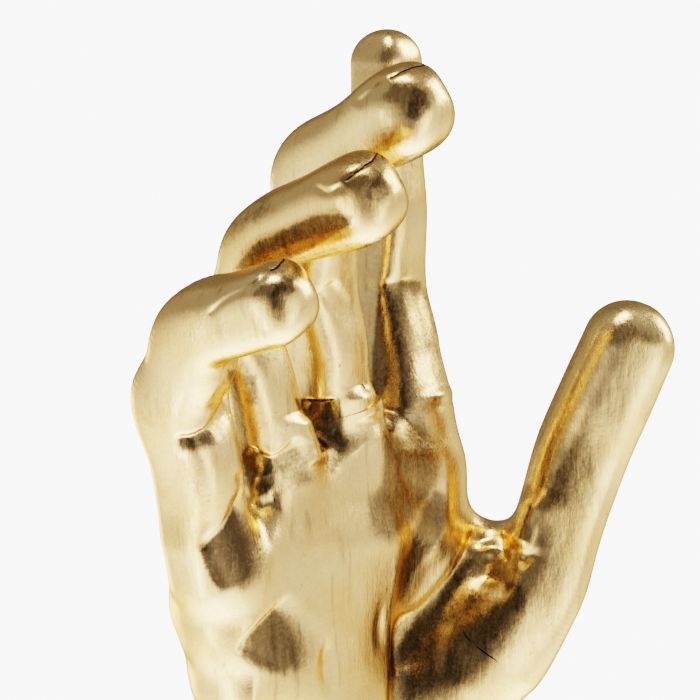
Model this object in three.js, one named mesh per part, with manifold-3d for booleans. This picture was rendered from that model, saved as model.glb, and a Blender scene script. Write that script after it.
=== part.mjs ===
// Gilded hand sculpture: a life-size right hand that stands upright on its forearm.
// The palm faces -Y and is turned towards the viewer, the thumb is at +X, and the
// tips of the little, ring and middle fingers curl forward over the palm.
// Millimetres, +Z up. The origin is the middle of the felt that it stands on.
//
// It is built as a sectional casting. The palm with its forearm is one hollow shell,
// because the curled fingers would lock in a one-piece mould. Each digit is cast
// alone, meets its stump in a flat joint at the root crease, and is held there by a
// glued steel rod. A steel plate closes the forearm, and felt covers the plate.

import * as THREE from "three";
import { mergeVertices } from "three/addons/utils/BufferGeometryUtils.js";
import Module from "manifold-3d";

const wasm = await Module();
wasm.setup();

// Overall sizes
const WRIST_HEIGHT = 55;        // underside to the wrist crease
const HEEL_LENGTH = 19;         // wrist crease to the middle of the carpus
const LANE_PITCH = 22;          // from one finger's root to the next
const FOREARM_RADIUS = 29.9;    // half width of the forearm at its cut end
const FOREARM_FLATNESS = 0.74;  // thickness over width
const WRIST_RADIUS = 24.5;      // half width at the wrist crease
const WRIST_FLATNESS = 0.66;
const WRIST_DEPTH = 3;          // how far the wrist lies behind the base's middle

// Shell, joints and clearances
const WALL = 6;                 // casting wall round the hollow
const CAVITY_TOP = 43;          // height of the hollow over the wrist crease
const GAP = 0.3;                // glue line and seating clearance
const ROD_RADIUS = 3;
const ROD_LENGTH = 28;
const ROD_CHAMFER = 0.6;
const ROD_COVER = 4;            // metal round a rod that crosses the hollow
const SINK = 1;                 // how far cutting shapes run past what they cut

// Base
const RIM_LIFT = 0.8;           // the casting's rim clears the table
const RIM_WALL = 3.2;           // wall outside the plate's rebate
const FELT_THICKNESS = 2;
const PLATE_THICKNESS = 3;
const SCREW_RADIUS = 2;
const SCREW_LENGTH = 16;
const SCREW_HEAD_RADIUS = 4;
const SCREW_HEAD_HEIGHT = 2.2;
const SCREW_CROSS_LENGTH = 5;
const SCREW_CROSS_WIDTH = 0.9;
const SCREW_CROSS_DEPTH = 1.2;
const BOSS_RADIUS = 5.5;
const BOSS_HEIGHT = 20;
const BOSS_INSET = 9.5;         // a screw's middle to the casting's outside
const SCREW_ANGLES = [90, 215, 325];

// Digits
const KNUCKLE_ROUNDING = 6.5;   // how far from a joint its spine starts to bend
const SQUARENESS = 3;           // a section's shape: 2 is an ellipse, more is squarer
const NAIL_BED = 0.4;           // places along the last segment, as shares of it
const FINGER_PAD = 0.74;
const NAIL_START = 0.34;
const NAIL_END = 1.2;           // from the nail's end to the fingertip
const NAIL_WIDTH = 0.74;        // nail width over finger width
const NAIL_LIFT = 0.5;

// The ulnar side of the hand leans out over the palm's side, towards a far point, by a
// share that grows with height. From one finger's lane to the next the lean fades out.
const LEAN = 0.1;               // sideways per height
const LEAN_FOOT = 70;           // height where it starts
const LEAN_LANES = [26, 10];    // no lean on the thumb's side of the first
const LEAN_POINT = [-381, -307, 294];
const LEAN_REACH = 500;         // how far off the point is

// Facets
const DIGIT_SIDES = 18;
const ROW_PITCH = 3.8;
const CAP_ROWS = 5;
const NAIL_SEGMENTS = 4;
const SKIN_CELL = 4.2;
const BASE_SIDES = 32;
const CAVITY_SIDES = 24;
const CAVITY_PITCH = 10;
const ROUND_SIDES = 16;

// A finger's spine starts at its root crease and runs through its joints. Width,
// back and front are half sizes at the root, mid-segment, joint, mid-segment, joint,
// nail bed and pad. Flex is each segment's angle from upright towards the palm.
const FINGERS = {
  little_finger: {
    lane: 0, depth: -0.3, rise: 79, splay: -8, twist: 6,
    lengths: [28.6, 16.0, 29], flex: [-4, 24, 67],
    width: [7.8, 7.6, 8.4, 7.8, 7.8, 7.3, 7.6],
    back: [8.2, 8.0, 10.3, 8.3, 9.2, 7.5, 7.2],
    front: [7.3, 8.8, 7.1, 8.0, 6.9, 7.8, 8.2],
  },
  ring_finger: {
    lane: 1, depth: 1.9, rise: 88.5, splay: -10, twist: 4,
    lengths: [29.5, 21.5, 36.5], flex: [-9, 28, 70],
    width: [8.2, 7.8, 8.2, 7.4, 7.6, 7.4, 7.9],
    back: [8.4, 6.9, 6.1, 5.7, 7.1, 7.3, 7.5],
    front: [7.3, 8.4, 6.9, 7.8, 6.7, 8.0, 8.8],
  },
  middle_finger: {
    lane: 2, depth: 3.9, rise: 94.5, splay: -5, twist: 2,
    lengths: [24.3, 26, 37.2], flex: [-3, 1, 59],
    width: [8.6, 8.0, 8.4, 7.5, 7.8, 7.6, 8.8],
    back: [8.6, 7.5, 8.0, 6.9, 8.7, 7.9, 8.9],
    front: [7.3, 8.4, 6.9, 7.8, 6.7, 8.4, 9.7],
  },
  index_finger: {
    lane: 3, depth: 2.7, rise: 87.5, splay: 4, twist: 0,
    lengths: [27.7, 29.4, 24.6], flex: [-8, -3, -6],
    width: [10.6, 9.4, 7.9, 7.0, 7.1, 6.9, 6.8],
    back: [8.8, 7.4, 7.7, 7.4, 8.0, 7.4, 7.1],
    front: [7.6, 8.6, 6.5, 7.4, 5.9, 7.1, 6.7],
  },
};

// The thumb's root is placed from the index finger's lane, the base's middle and the
// wrist. Its segments each have a tilt from upright and a heading from +X to +Y.
const THUMB = {
  offset: [4.5, -19.3, 37.6], facing: [-0.75, -0.66, 0],
  lengths: [16, 31.6, 34.8], tilt: [40, 18.5, 21.8], heading: [-44, -27, -51],
  width: [11.7, 11.1, 10.1, 9.4, 9.9, 9.9, 9.7],
  back: [11.5, 11.1, 10.1, 9.2, 9.7, 8.2, 7.4],
  front: [11.5, 11.5, 10.8, 9.2, 8.8, 9.4, 9.5],
};

// The palm is made of tapered limbs with round ends. A foot is placed from the middle
// of the carpus, a head from a digit's root, and radii are the foot's and the head's.
const CARPUS_RADII = [24, 23];
const METACARPAL_DEPTH = 4;
const METACARPALS = [
  { foot: -11, head: [7, 3.8, -18], radii: [9, 7.4] },
  { foot: -6, head: [0.5, 2.1, -19.5], radii: [11, 9] },
  { foot: 4, head: [0, 1.1, -21.5], radii: [11, 9.5] },
  { foot: 13, head: [1.5, -0.2, -20.5], radii: [11, 10.3] },
];
const HYPOTHENAR = { foot: [-8, -2, -4], head: [12.5, -4.7, -33], radii: [10.5, 8.3] };
const THENAR = { foot: [17, -4, -4], head: [0, 0.8, 3.4], radii: [14, 12] };
const THUMB_WEB = { index: [2.5, -3.7, -31.5], thumb: [6.5, 5.3, 16.4], radii: [9.4, 8.6] };
const PADS = [
  { head: [3, -1.4, -9], foot: [8.5, -2.9, -33], radii: [8.6, 8.4] },
  { head: [0, -2.6, -10], foot: [1.5, -1.4, -28], radii: [9.2, 8.5] },
  { head: [0, -3, -10.5], foot: [-1, -1.3, -28.5], radii: [9.2, 8.7] },
  { head: [1.2, -4.8, -12], foot: [-3.2, -6.6, -36], radii: [9.6, 9.4] },
];
const WEB_RADIUS = 8.7;
const WEB_OFFSET = [0, 0.4, -1]; // webs between two pads, from the pads' middle lines
const WEB_ROWS = [0, 0.5, 1];    // places of the webs from the pads' heads to their feet
const KNUCKLES = [[5.4, 4.9, -14], [0.8, 5.7, -17], [-0.5, 4.7, -19], [-1.8, 3.9, -18]];
const KNUCKLE_RADIUS = 6.8;
const KNUCKLE_LENGTH = 3;
const STUMP_LENGTH = 18;        // the palm's part of each digit, under its joint
const STUMP_TAPER = 0.72;

// Width over which each form melts into the rest
const BLEND = {
  wrist: 10, bones: 12, back: 8, pads: 3, sheet: 8, muscles: 10, thumbWeb: 8, knuckles: 4, stumps: 5,
};

// Colours
const GOLD = { color: 0xd9b36a, roughness: 0.28, metalness: 1 };
const STEEL = { color: 0x9a9a96, roughness: 0.4, metalness: 1 };
const PLATE_STEEL = { color: 0x55534f, roughness: 0.5, metalness: 1 };
const FELT = { color: 0x24221f, roughness: 0.95, metalness: 0 };

// Small vector and angle helpers
const v3 = (x, y, z) => new THREE.Vector3(x, y, z);
const rad = THREE.MathUtils.degToRad;
const up = v3(0, 0, 1);
const lane = (number) => (number - 1.5) * LANE_PITCH;

// The share of the way to the far point that the lean moves a point, by its height
// and by how far across the hand it counts.
function leanShare(point, across) {
  const side = THREE.MathUtils.clamp((LEAN_LANES[0] - across) / (LEAN_LANES[0] - LEAN_LANES[1]), 0, 1);
  return (LEAN * side * Math.max(0, point.z - LEAN_FOOT)) / LEAN_REACH;
}

const leaned = (point, across) => point.clone().lerp(v3(...LEAN_POINT), leanShare(point, across));

// Solids
function toSolid(geometry) {
  const bare = geometry.clone();
  bare.deleteAttribute("normal");
  bare.deleteAttribute("uv");
  const merged = mergeVertices(bare, 1e-4);
  return new wasm.Manifold(new wasm.Mesh({
    numProp: 3,
    vertProperties: new Float32Array(merged.attributes.position.array),
    triVerts: new Uint32Array(merged.index.array),
  }));
}

function toGeometry(solid) {
  const mesh = solid.getMesh();
  const geometry = new THREE.BufferGeometry();
  geometry.setAttribute("position", new THREE.BufferAttribute(mesh.vertProperties, 3));
  geometry.setIndex(new THREE.BufferAttribute(mesh.triVerts, 1));
  geometry.computeVertexNormals();
  return geometry;
}

function pointGeometry(points, faces) {
  const geometry = new THREE.BufferGeometry();
  const values = points.flatMap((point) => point.toArray());
  geometry.setAttribute("position", new THREE.Float32BufferAttribute(values, 3));
  geometry.setIndex(faces);
  return geometry;
}

// A closed skin over a stack of rings, each counter-clockwise about the way up the
// stack, with one point closing it at each end.
function ringSolid(rings, start, end) {
  const sides = rings[0].length;
  const points = [start, ...rings.flat(), end];
  const last = points.length - 1;
  const at = (row, column) => 1 + row * sides + (column % sides);
  const faces = [];
  for (let column = 0; column < sides; column += 1) {
    faces.push(0, at(0, column + 1), at(0, column));
    faces.push(last, at(rings.length - 1, column), at(rings.length - 1, column + 1));
    for (let row = 0; row + 1 < rings.length; row += 1) {
      const [a, b] = [at(row, column), at(row, column + 1)];
      const [c, d] = [at(row + 1, column + 1), at(row + 1, column)];
      faces.push(a, b, c, a, c, d);
    }
  }
  return toSolid(pointGeometry(points, faces));
}

// A turned solid whose axis starts at a point and runs along a direction.
function turned(profile, origin, direction) {
  const outline = profile.map(([radius, height]) => new THREE.Vector2(radius, height));
  const geometry = new THREE.LatheGeometry(outline, ROUND_SIDES);
  geometry.applyQuaternion(new THREE.Quaternion().setFromUnitVectors(v3(0, 1, 0), direction));
  geometry.translate(origin.x, origin.y, origin.z);
  return toSolid(geometry);
}

function rod(radius, length, chamfer, origin, direction) {
  const profile = [[0, 0], [radius - chamfer, 0], [radius, chamfer]];
  profile.push([radius, length - chamfer], [radius - chamfer, length], [0, length]);
  return turned(profile, origin, direction);
}

const bore = (radius, length, origin, direction) => turned(
  [[0, 0], [radius, 0], [radius, length], [0, length]], origin, direction);

// A smooth curve through a short list of values, flat at its peaks.
function smoothTable(stations, values) {
  const spans = stations.slice(1).map((s, i) => s - stations[i]);
  const slope = spans.map((h, i) => (values[i + 1] - values[i]) / h);
  const tangent = values.map((_, i) => {
    const [a, b] = [slope[i - 1] ?? 0, slope[i] ?? 0];
    return a * b > 0 ? (2 * a * b) / (a + b) : 0;
  });
  return (s) => {
    const x = THREE.MathUtils.clamp(s, stations[0], stations.at(-1));
    const i = Math.min(Math.max(stations.findLastIndex((q) => q <= x), 0), spans.length - 1);
    const t = (x - stations[i]) / spans[i];
    const rise = 3 * t ** 2 - 2 * t ** 3;
    const [leave, arrive] = [t ** 3 - 2 * t ** 2 + t, t ** 3 - t ** 2];
    const bend = leave * tangent[i] + arrive * tangent[i + 1];
    return (1 - rise) * values[i] + rise * values[i + 1] + bend * spans[i];
  };
}

// Digits
function fingerJoints(finger) {
  const upright = v3(Math.sin(rad(finger.splay)), 0, Math.cos(rad(finger.splay)));
  const facing = v3(Math.sin(rad(finger.twist)), -Math.cos(rad(finger.twist)), 0);
  facing.addScaledVector(upright, -facing.dot(upright)).normalize();
  const joints = [v3(lane(finger.lane), finger.depth, WRIST_HEIGHT + finger.rise)];
  finger.lengths.forEach((length, i) => {
    const bend = rad(finger.flex[i]);
    const next = joints.at(-1).clone().addScaledVector(upright, length * Math.cos(bend));
    joints.push(next.addScaledVector(facing, length * Math.sin(bend)));
  });
  return { joints, facing };
}

function thumbJoints(thumb) {
  const [x, y, z] = thumb.offset;
  const joints = [v3(lane(FINGERS.index_finger.lane) + x, y, WRIST_HEIGHT + z)];
  thumb.lengths.forEach((length, i) => {
    const [tilt, heading] = [rad(thumb.tilt[i]), rad(thumb.heading[i])];
    const way = v3(Math.cos(heading) * Math.sin(tilt), Math.sin(heading) * Math.sin(tilt), Math.cos(tilt));
    joints.push(joints.at(-1).clone().addScaledVector(way, length));
  });
  return { joints, facing: v3(...thumb.facing).normalize() };
}

// The spine is straight along each segment and rounded at each joint.
function spinePath(joints) {
  const path = new THREE.CurvePath();
  let from = joints[0];
  for (let i = 1; i + 1 < joints.length; i += 1) {
    const back = joints[i - 1].clone().sub(joints[i]).setLength(KNUCKLE_ROUNDING);
    const ahead = joints[i + 1].clone().sub(joints[i]).setLength(KNUCKLE_ROUNDING);
    const [start, end] = [joints[i].clone().add(back), joints[i].clone().add(ahead)];
    path.add(new THREE.LineCurve3(from, start));
    path.add(new THREE.QuadraticBezierCurve3(start, joints[i], end));
    from = end;
  }
  path.add(new THREE.LineCurve3(from, joints.at(-1)));
  return path;
}

function makeDigit(name, shape, { joints: upright, facing }) {
  const across = upright[0].x;
  const joints = upright.map((joint) => leaned(joint, across));
  const shrink = 1 - upright.reduce((sum, joint) => sum + leanShare(joint, across), 0) / upright.length;
  const path = spinePath(joints);
  const total = path.getLength();
  const [first, second, third] = shape.lengths;
  // The rounded spine is a little shorter than its segments together.
  const alongSpine = (distance) => (distance * total) / (first + second + third);
  const alongLast = (share) => first + second + share * third;
  const knuckles = [0, first / 2, first, first + second / 2, first + second];
  const stations = [...knuckles, alongLast(NAIL_BED), alongLast(FINGER_PAD)].map(alongSpine);
  return {
    name, path, total, facing,
    uprightRoot: upright[0], root: joints[0],
    axis: joints[1].clone().sub(joints[0]).normalize(),
    sizes: [shape.width, shape.back, shape.front].map(
      (values) => smoothTable(stations, values.map((value) => value * shrink))),
    cap: shrink * Math.max(shape.width.at(-1), shape.back.at(-1), shape.front.at(-1)),
    nail: {
      start: alongSpine(alongLast(NAIL_START)), end: total - NAIL_END,
      width: NAIL_WIDTH * shape.width.at(-1),
    },
  };
}

// The frame of a digit at a distance along its spine: N looks to the palm's side.
function frameAt(digit, distance) {
  const share = THREE.MathUtils.clamp(distance / digit.total, 0, 1);
  const T = digit.path.getTangentAt(share);
  const N = digit.facing.clone().addScaledVector(T, -digit.facing.dot(T)).normalize();
  const P = digit.path.getPointAt(share).addScaledVector(T, distance - share * digit.total);
  return { P, T, N, X: T.clone().cross(N) };
}

// One rounded section, as a superellipse that is deeper on one side than the other.
function section(digit, distance, scale, grow) {
  const { P, N, X } = frameAt(digit, distance);
  const [width, back, front] = digit.sizes.map((size) => size(distance) * scale + grow);
  return Array.from({ length: DIGIT_SIDES }, (_, i) => {
    const angle = (2 * Math.PI * i) / DIGIT_SIDES;
    const [c, s] = [Math.cos(angle), Math.sin(angle)];
    const reach = Math.abs(c) ** (2 / SQUARENESS) * (c < 0 ? -back : front);
    const side = Math.abs(s) ** (2 / SQUARENESS) * Math.sign(s) * width;
    return P.clone().addScaledVector(N, reach).addScaledVector(X, side);
  });
}

// A whole digit: sections from the root crease to a rounded fingertip.
function digitBody(digit, grow) {
  const straight = digit.total - digit.cap;
  const rows = Math.round(straight / ROW_PITCH);
  const rings = [];
  for (let row = 0; row <= rows; row += 1) {
    const start = row === 0 ? -grow : 0;
    rings.push(section(digit, start + (straight * row) / rows, 1, grow));
  }
  for (let row = 1; row < CAP_ROWS; row += 1) {
    const angle = (Math.PI / 2) * (row / CAP_ROWS);
    const distance = straight + (digit.cap + grow) * Math.sin(angle);
    rings.push(section(digit, distance, Math.cos(angle), grow * Math.cos(angle)));
  }
  const tip = frameAt(digit, digit.total + grow).P;
  return ringSolid(rings, frameAt(digit, -grow).P, tip);
}

// The nail is a plate that follows the digit's back and stands a little proud. Its
// outline is two half ellipses, flatter and narrower at the free end.
function nailPlate(digit) {
  const { start, end, width } = digit.nail;
  const { P, T, N, X } = frameAt(digit, (start + end) / 2);
  const half = (end - start) / 2;
  const [cuticle, edge] = [0.6 * width, 0.45 * width];
  const outline = new THREE.Shape();
  outline.absellipse(0, half - edge, 0.92 * width, edge, 0, Math.PI);
  outline.absellipse(0, cuticle - half, width, cuticle, Math.PI, 2 * Math.PI);
  const settings = { depth: 3 * width, bevelEnabled: false, curveSegments: NAIL_SEGMENTS };
  const block = new THREE.ExtrudeGeometry(outline, settings);
  block.translate(0, 0, SINK);
  block.applyMatrix4(new THREE.Matrix4().makeBasis(X.negate(), T, N.negate()));
  block.translate(P.x, P.y, P.z);
  return toSolid(block).intersect(digitBody(digit, NAIL_LIFT));
}

function digitCasting(digit) {
  const length = ROD_LENGTH / 2 + GAP + SINK;
  const hole = bore(ROD_RADIUS + GAP, length, frameAt(digit, -SINK).P, digit.axis);
  return digitBody(digit, 0).add(nailPlate(digit)).subtract(hole);
}

// Palm: a smooth skin over tapered bones and muscles
function smoothMin(a, b, blend) {
  const h = THREE.MathUtils.clamp(0.5 + (0.5 * (b - a)) / blend, 0, 1);
  return b * (1 - h) + a * h - blend * h * (1 - h);
}

// Distance from a point to a tapered limb with round ends, flattened along Y.
function limb(from, to, [startRadius, endRadius], flatness = 1) {
  const [ax, ay, az] = [from[0], from[1] / flatness, from[2]];
  const [bx, by, bz] = [to[0] - ax, to[1] / flatness - ay, to[2] - az];
  const square = bx * bx + by * by + bz * bz;
  return (x, y, z) => {
    const [dx, dy, dz] = [x - ax, y / flatness - ay, z - az];
    const t = THREE.MathUtils.clamp((dx * bx + dy * by + dz * bz) / square, 0, 1);
    const apart = Math.hypot(dx - t * bx, dy - t * by, dz - t * bz);
    return (apart - (startRadius + (endRadius - startRadius) * t)) * flatness;
  };
}

function palmField(digits) {
  const heel = WRIST_HEIGHT + HEEL_LENGTH;
  const thumb = digits.length - 1;
  const fromHeel = ([x, y, z]) => [x, y, heel + z];
  const shift = ([x, y, z], [dx, dy, dz]) => [x + dx, y + dy, z + dz];
  const fromRoot = (i, offset) => shift(digits[i].uprightRoot.toArray(), offset);
  const lean = (place) => leaned(v3(...place), place[0]).toArray();
  const forms = [];
  const put = (blend, from, to, ...shape) => {
    forms.push({ blend, distance: limb(lean(from), lean(to), ...shape) });
  };
  const putJoined = (group, melt, blend) => {
    const joined = (x, y, z) => group.reduce(
      (sum, distance) => smoothMin(sum, distance(x, y, z), melt), 1e3);
    forms.push({ blend, distance: joined });
  };

  const wrist = [0, WRIST_DEPTH, WRIST_HEIGHT];
  const elbowEnd = [0, 0, -10];
  const forearm = limb(elbowEnd, wrist, [FOREARM_RADIUS, WRIST_RADIUS], FOREARM_FLATNESS);
  put(BLEND.wrist, shift(wrist, [0, 0, -3]), [1, WRIST_DEPTH, heel], CARPUS_RADII, WRIST_FLATNESS);

  const bones = METACARPALS.map(({ foot, head, radii }, i) => {
    const places = [fromHeel([foot, METACARPAL_DEPTH, -2]), fromRoot(i, head)].map(lean);
    return limb(...places, radii);
  });
  putJoined(bones, BLEND.bones, BLEND.back);

  const ends = PADS.map(({ head, foot }, i) => [fromRoot(i, head), fromRoot(i, foot)]);
  const pads = ends.map(([head, foot], i) => limb(lean(foot), lean(head), PADS[i].radii));
  for (const row of WEB_ROWS) {
    const line = ends.map(([head, foot]) => v3(...head).lerp(v3(...foot), row).add(v3(...WEB_OFFSET)));
    const places = line.map((point) => lean(point.toArray()));
    places.slice(1).forEach((place, i) => pads.push(limb(places[i], place, [WEB_RADIUS, WEB_RADIUS])));
  }
  putJoined(pads, BLEND.pads, BLEND.sheet);
  put(BLEND.muscles, fromHeel(HYPOTHENAR.foot), fromRoot(0, HYPOTHENAR.head), HYPOTHENAR.radii);
  put(BLEND.muscles, fromHeel(THENAR.foot), fromRoot(thumb, THENAR.head), THENAR.radii);
  put(BLEND.thumbWeb, fromRoot(3, THUMB_WEB.index), fromRoot(thumb, THUMB_WEB.thumb), THUMB_WEB.radii);
  KNUCKLES.forEach((knuckle, i) => {
    const high = fromRoot(i, knuckle);
    put(BLEND.knuckles, high, shift(high, [0, 0, -KNUCKLE_LENGTH]), [KNUCKLE_RADIUS, KNUCKLE_RADIUS]);
  });
  for (const digit of digits) {
    const size = digit.sizes.reduce((sum, table) => sum + table(0) / 3, 0);
    const [deep, near] = [-STUMP_LENGTH, -SINK].map((distance) => frameAt(digit, distance).P.toArray());
    const distance = limb(deep, near, [size * STUMP_TAPER, size * 0.985]);
    forms.push({ blend: BLEND.stumps, distance });
  }
  return (x, y, z) => forms.reduce(
    (sum, { blend, distance }) => smoothMin(sum, distance(x, y, z), blend), forearm(x, y, z));
}

// A closed skin where a field is negative: a point in each grid cell that the
// surface crosses, drawn onto the surface, and a quad round each crossed grid edge.
function netSkin(field, low, high, cell) {
  const size = high.clone().sub(low).divideScalar(cell).ceil().addScalar(1).toArray();
  const index = ([i, j, k]) => i + size[0] * (j + size[1] * k);
  const place = (corner) => v3(...corner).multiplyScalar(cell).add(low);
  const corners = [];
  for (let k = 0; k < size[2]; k += 1) {
    for (let j = 0; j < size[1]; j += 1) {
      for (let i = 0; i < size[0]; i += 1) corners.push([i, j, k]);
    }
  }
  const values = corners.map((corner) => field(...place(corner).toArray()));
  separate(values, corners, size, index);
  const sums = new Map();
  const quads = [];
  for (const corner of corners) {
    for (let axis = 0; axis < 3; axis += 1) {
      const [here, next] = [index(corner), index(step(corner, axis, 1))];
      if (corner[axis] + 1 === size[axis] || (values[here] < 0) === (values[next] < 0)) continue;
      const along = values[here] / (values[here] - values[next]);
      const crossing = place(step(corner, axis, along));
      const [b, c] = [(axis + 1) % 3, (axis + 2) % 3];
      const around = [step(step(corner, b, -1), c, -1), step(corner, c, -1), corner, step(corner, b, -1)];
      const ids = around.map(index);
      ids.forEach((id, i) => {
        const sum = sums.get(id) ?? { point: v3(0, 0, 0), count: 0, corner: place(around[i]) };
        sum.point.add(crossing);
        sum.count += 1;
        sums.set(id, sum);
      });
      quads.push(values[here] < 0 ? ids : ids.toReversed());
    }
  }
  const order = new Map([...sums.keys()].map((id, i) => [id, i]));
  // Each point stays inside its own cell, so that neighbours never meet.
  const points = [...sums.values()].map(({ point, count, corner }) => {
    const [inner, outer] = [0.06, 0.94].map((share) => corner.clone().addScalar(share * cell));
    return settle(field, point.divideScalar(count)).clamp(inner, outer);
  });
  const faces = quads.flatMap((quad) => {
    const [a, b, c, d] = quad.map((id) => order.get(id));
    return [a, b, c, a, c, d];
  });
  return toSolid(pointGeometry(points, faces));
}

// The grid corner some steps along one axis from another.
const step = (corner, axis, by) => corner.map((value, k) => (k === axis ? value + by : value));

// Where the corners of a grid face lie inside and outside by turns, the skin would
// touch itself, so the corner nearest the surface changes sides.
function separate(values, corners, size, index) {
  const least = 0.1;
  let changed = true;
  for (let pass = 0; changed && pass < 5; pass += 1) {
    changed = false;
    for (const corner of corners) {
      for (let axis = 0; axis < 3; axis += 1) {
        const [b, c] = [(axis + 1) % 3, (axis + 2) % 3];
        if (corner[b] + 1 === size[b] || corner[c] + 1 === size[c]) continue;
        const across = step(corner, b, 1);
        const loop = [corner, across, step(across, c, 1), step(corner, c, 1)].map(index);
        const inside = loop.map((id) => values[id] < 0);
        if (inside[0] !== inside[2] || inside[1] !== inside[3] || inside[0] === inside[1]) continue;
        const nearest = loop.reduce((a, id) => (Math.abs(values[id]) < Math.abs(values[a]) ? id : a));
        values[nearest] = values[nearest] < 0 ? least : -least;
        changed = true;
      }
    }
  }
}

// Draws a point onto a field's surface by short steps down its slope.
function settle(field, point) {
  const reach = 0.05;
  const stride = 0.35;
  for (let turn = 0; turn < 2; turn += 1) {
    const [x, y, z] = point.toArray();
    const value = field(x, y, z);
    const slope = v3(field(x + reach, y, z), field(x, y + reach, z), field(x, y, z + reach));
    slope.subScalar(value).divideScalar(reach);
    point.addScaledVector(slope, THREE.MathUtils.clamp(-value / slope.lengthSq(), -stride, stride));
  }
  return point;
}

const digits = Object.entries(FINGERS).map(([name, finger]) => makeDigit(name, finger, fingerJoints(finger)));
digits.push(makeDigit("thumb", THUMB, thumbJoints(THUMB)));
const skin = palmField(digits);

// The first point along a ray from inside where the skin's depth falls to a level.
function castRay(origin, direction, depth) {
  const at = (t) => origin.clone().addScaledVector(direction, t);
  const value = (t) => skin(...at(t).toArray()) + depth;
  let near = 0;
  while (value(near + 1) < 0) near += 1;
  let far = near + 1;
  for (let turn = 0; turn < 20; turn += 1) {
    const middle = (near + far) / 2;
    if (value(middle) < 0) near = middle;
    else far = middle;
  }
  return at(near);
}

// The hollow's middle line, and how much wider than thick the hand is, up its height
const LEVELS = [0, WRIST_HEIGHT, WRIST_HEIGHT + 60];
const middleX = smoothTable(LEVELS, [0, 1, 2.5]);
const middleY = smoothTable(LEVELS, [0, WRIST_DEPTH, 2.5]);
const breadth = smoothTable(LEVELS, [1.4, 1.5, 2.6]);
const ringMiddle = (height) => v3(middleX(height), middleY(height), height);

function skinRing(height, depth, sides) {
  return Array.from({ length: sides }, (_, i) => {
    const angle = (2 * Math.PI * i) / sides;
    const way = v3(breadth(height) * Math.cos(angle), Math.sin(angle), 0).normalize();
    return castRay(ringMiddle(height), way, depth);
  });
}

// A slice of the hand between two heights, at a depth under its skin.
function slice(bottom, top, depth, sides, pitch) {
  const rows = Math.max(1, Math.round((top - bottom) / pitch));
  const heights = Array.from({ length: rows + 1 }, (_, i) => bottom + ((top - bottom) * i) / rows);
  return ringSolid(heights.map((h) => skinRing(h, depth, sides)), ringMiddle(bottom), ringMiddle(top));
}

// The outside of the palm with its stumps and forearm, cut level at the rim.
function palmOutside() {
  const box = new THREE.Box3().setFromPoints(digits.map((digit) => digit.root));
  const [margin, headroom] = [26, 12];
  box.expandByVector(v3(margin, margin, headroom));
  box.min.z = -2 * SKIN_CELL;
  const open = (x, y, z) => Math.max(skin(x, y, z), -z - SKIN_CELL);
  const span = 2 * box.getSize(v3(0, 0, 0)).length();
  const floor = new THREE.BoxGeometry(span, span, 4 * SKIN_CELL);
  floor.translate(0, 0, RIM_LIFT - 2 * SKIN_CELL);
  return netSkin(open, box.min, box.max, SKIN_CELL).subtract(toSolid(floor));
}

// Levels of the base, from the table up
const PLATE_BOTTOM = FELT_THICKNESS + GAP;
const PLATE_TOP = PLATE_BOTTOM + PLATE_THICKNESS;
const LEDGE = PLATE_TOP + GAP;

const screwPlaces = SCREW_ANGLES.map((degrees) => {
  const way = v3(Math.cos(rad(degrees)), Math.sin(rad(degrees)), 0);
  return castRay(ringMiddle(LEDGE), way, BOSS_INSET).setZ(PLATE_BOTTOM);
});

// A countersunk screw without its cross, or with room round it the hole that takes it.
function screwBlank(place, room) {
  const [head, shank, top] = [SCREW_HEAD_RADIUS + room, SCREW_RADIUS + room, SCREW_LENGTH + room];
  const mouth = room > 0 ? [[0, -room], [head, -room]] : [[0, 0]];
  return turned([...mouth, [head, 0], [shank, SCREW_HEAD_HEIGHT], [shank, top], [0, top]], place, up);
}

function screw(place) {
  const cross = [[SCREW_CROSS_LENGTH, SCREW_CROSS_WIDTH], [SCREW_CROSS_WIDTH, SCREW_CROSS_LENGTH]];
  return cross.reduce((solid, [width, depth]) => {
    const bar = new THREE.BoxGeometry(width, depth, 2 * SCREW_CROSS_DEPTH);
    bar.translate(...place.toArray());
    return solid.subtract(toSolid(bar));
  }, screwBlank(place, 0));
}

function palmCasting() {
  const rebate = slice(RIM_LIFT - SINK, LEDGE, RIM_WALL, BASE_SIDES, LEDGE);
  let hollow = slice(LEDGE - SINK, WRIST_HEIGHT + CAVITY_TOP, WALL, CAVITY_SIDES, CAVITY_PITCH);
  for (const place of screwPlaces) {
    const foot = place.clone().setZ(LEDGE - 2 * SINK);
    hollow = hollow.subtract(bore(BOSS_RADIUS, BOSS_HEIGHT + 2 * SINK, foot, up));
  }
  const socketDepth = ROD_LENGTH / 2 + GAP;
  const sockets = [];
  for (const digit of digits) {
    const cover = frameAt(digit, -socketDepth - ROD_COVER).P;
    hollow = hollow.subtract(bore(ROD_RADIUS + ROD_COVER, socketDepth + ROD_COVER, cover, digit.axis));
    sockets.push(bore(ROD_RADIUS + GAP, socketDepth + SINK, frameAt(digit, -socketDepth).P, digit.axis));
    sockets.push(digitBody(digit, GAP));
  }
  const screwHoles = screwPlaces.map((place) => screwBlank(place, GAP));
  const cuts = [rebate, hollow, ...sockets, ...screwHoles];
  return cuts.reduce((solid, cut) => solid.subtract(cut), palmOutside());
}

function basePlate() {
  const blank = slice(PLATE_BOTTOM, PLATE_TOP, RIM_WALL + GAP, BASE_SIDES, PLATE_THICKNESS);
  return screwPlaces.reduce((solid, place) => solid.subtract(screwBlank(place, GAP)), blank);
}

// Assembly
const hand = new THREE.Group();

function add(name, solid, finish) {
  const mesh = new THREE.Mesh(toGeometry(solid), new THREE.MeshStandardMaterial(finish));
  mesh.name = name;
  hand.add(mesh);
}

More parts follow.
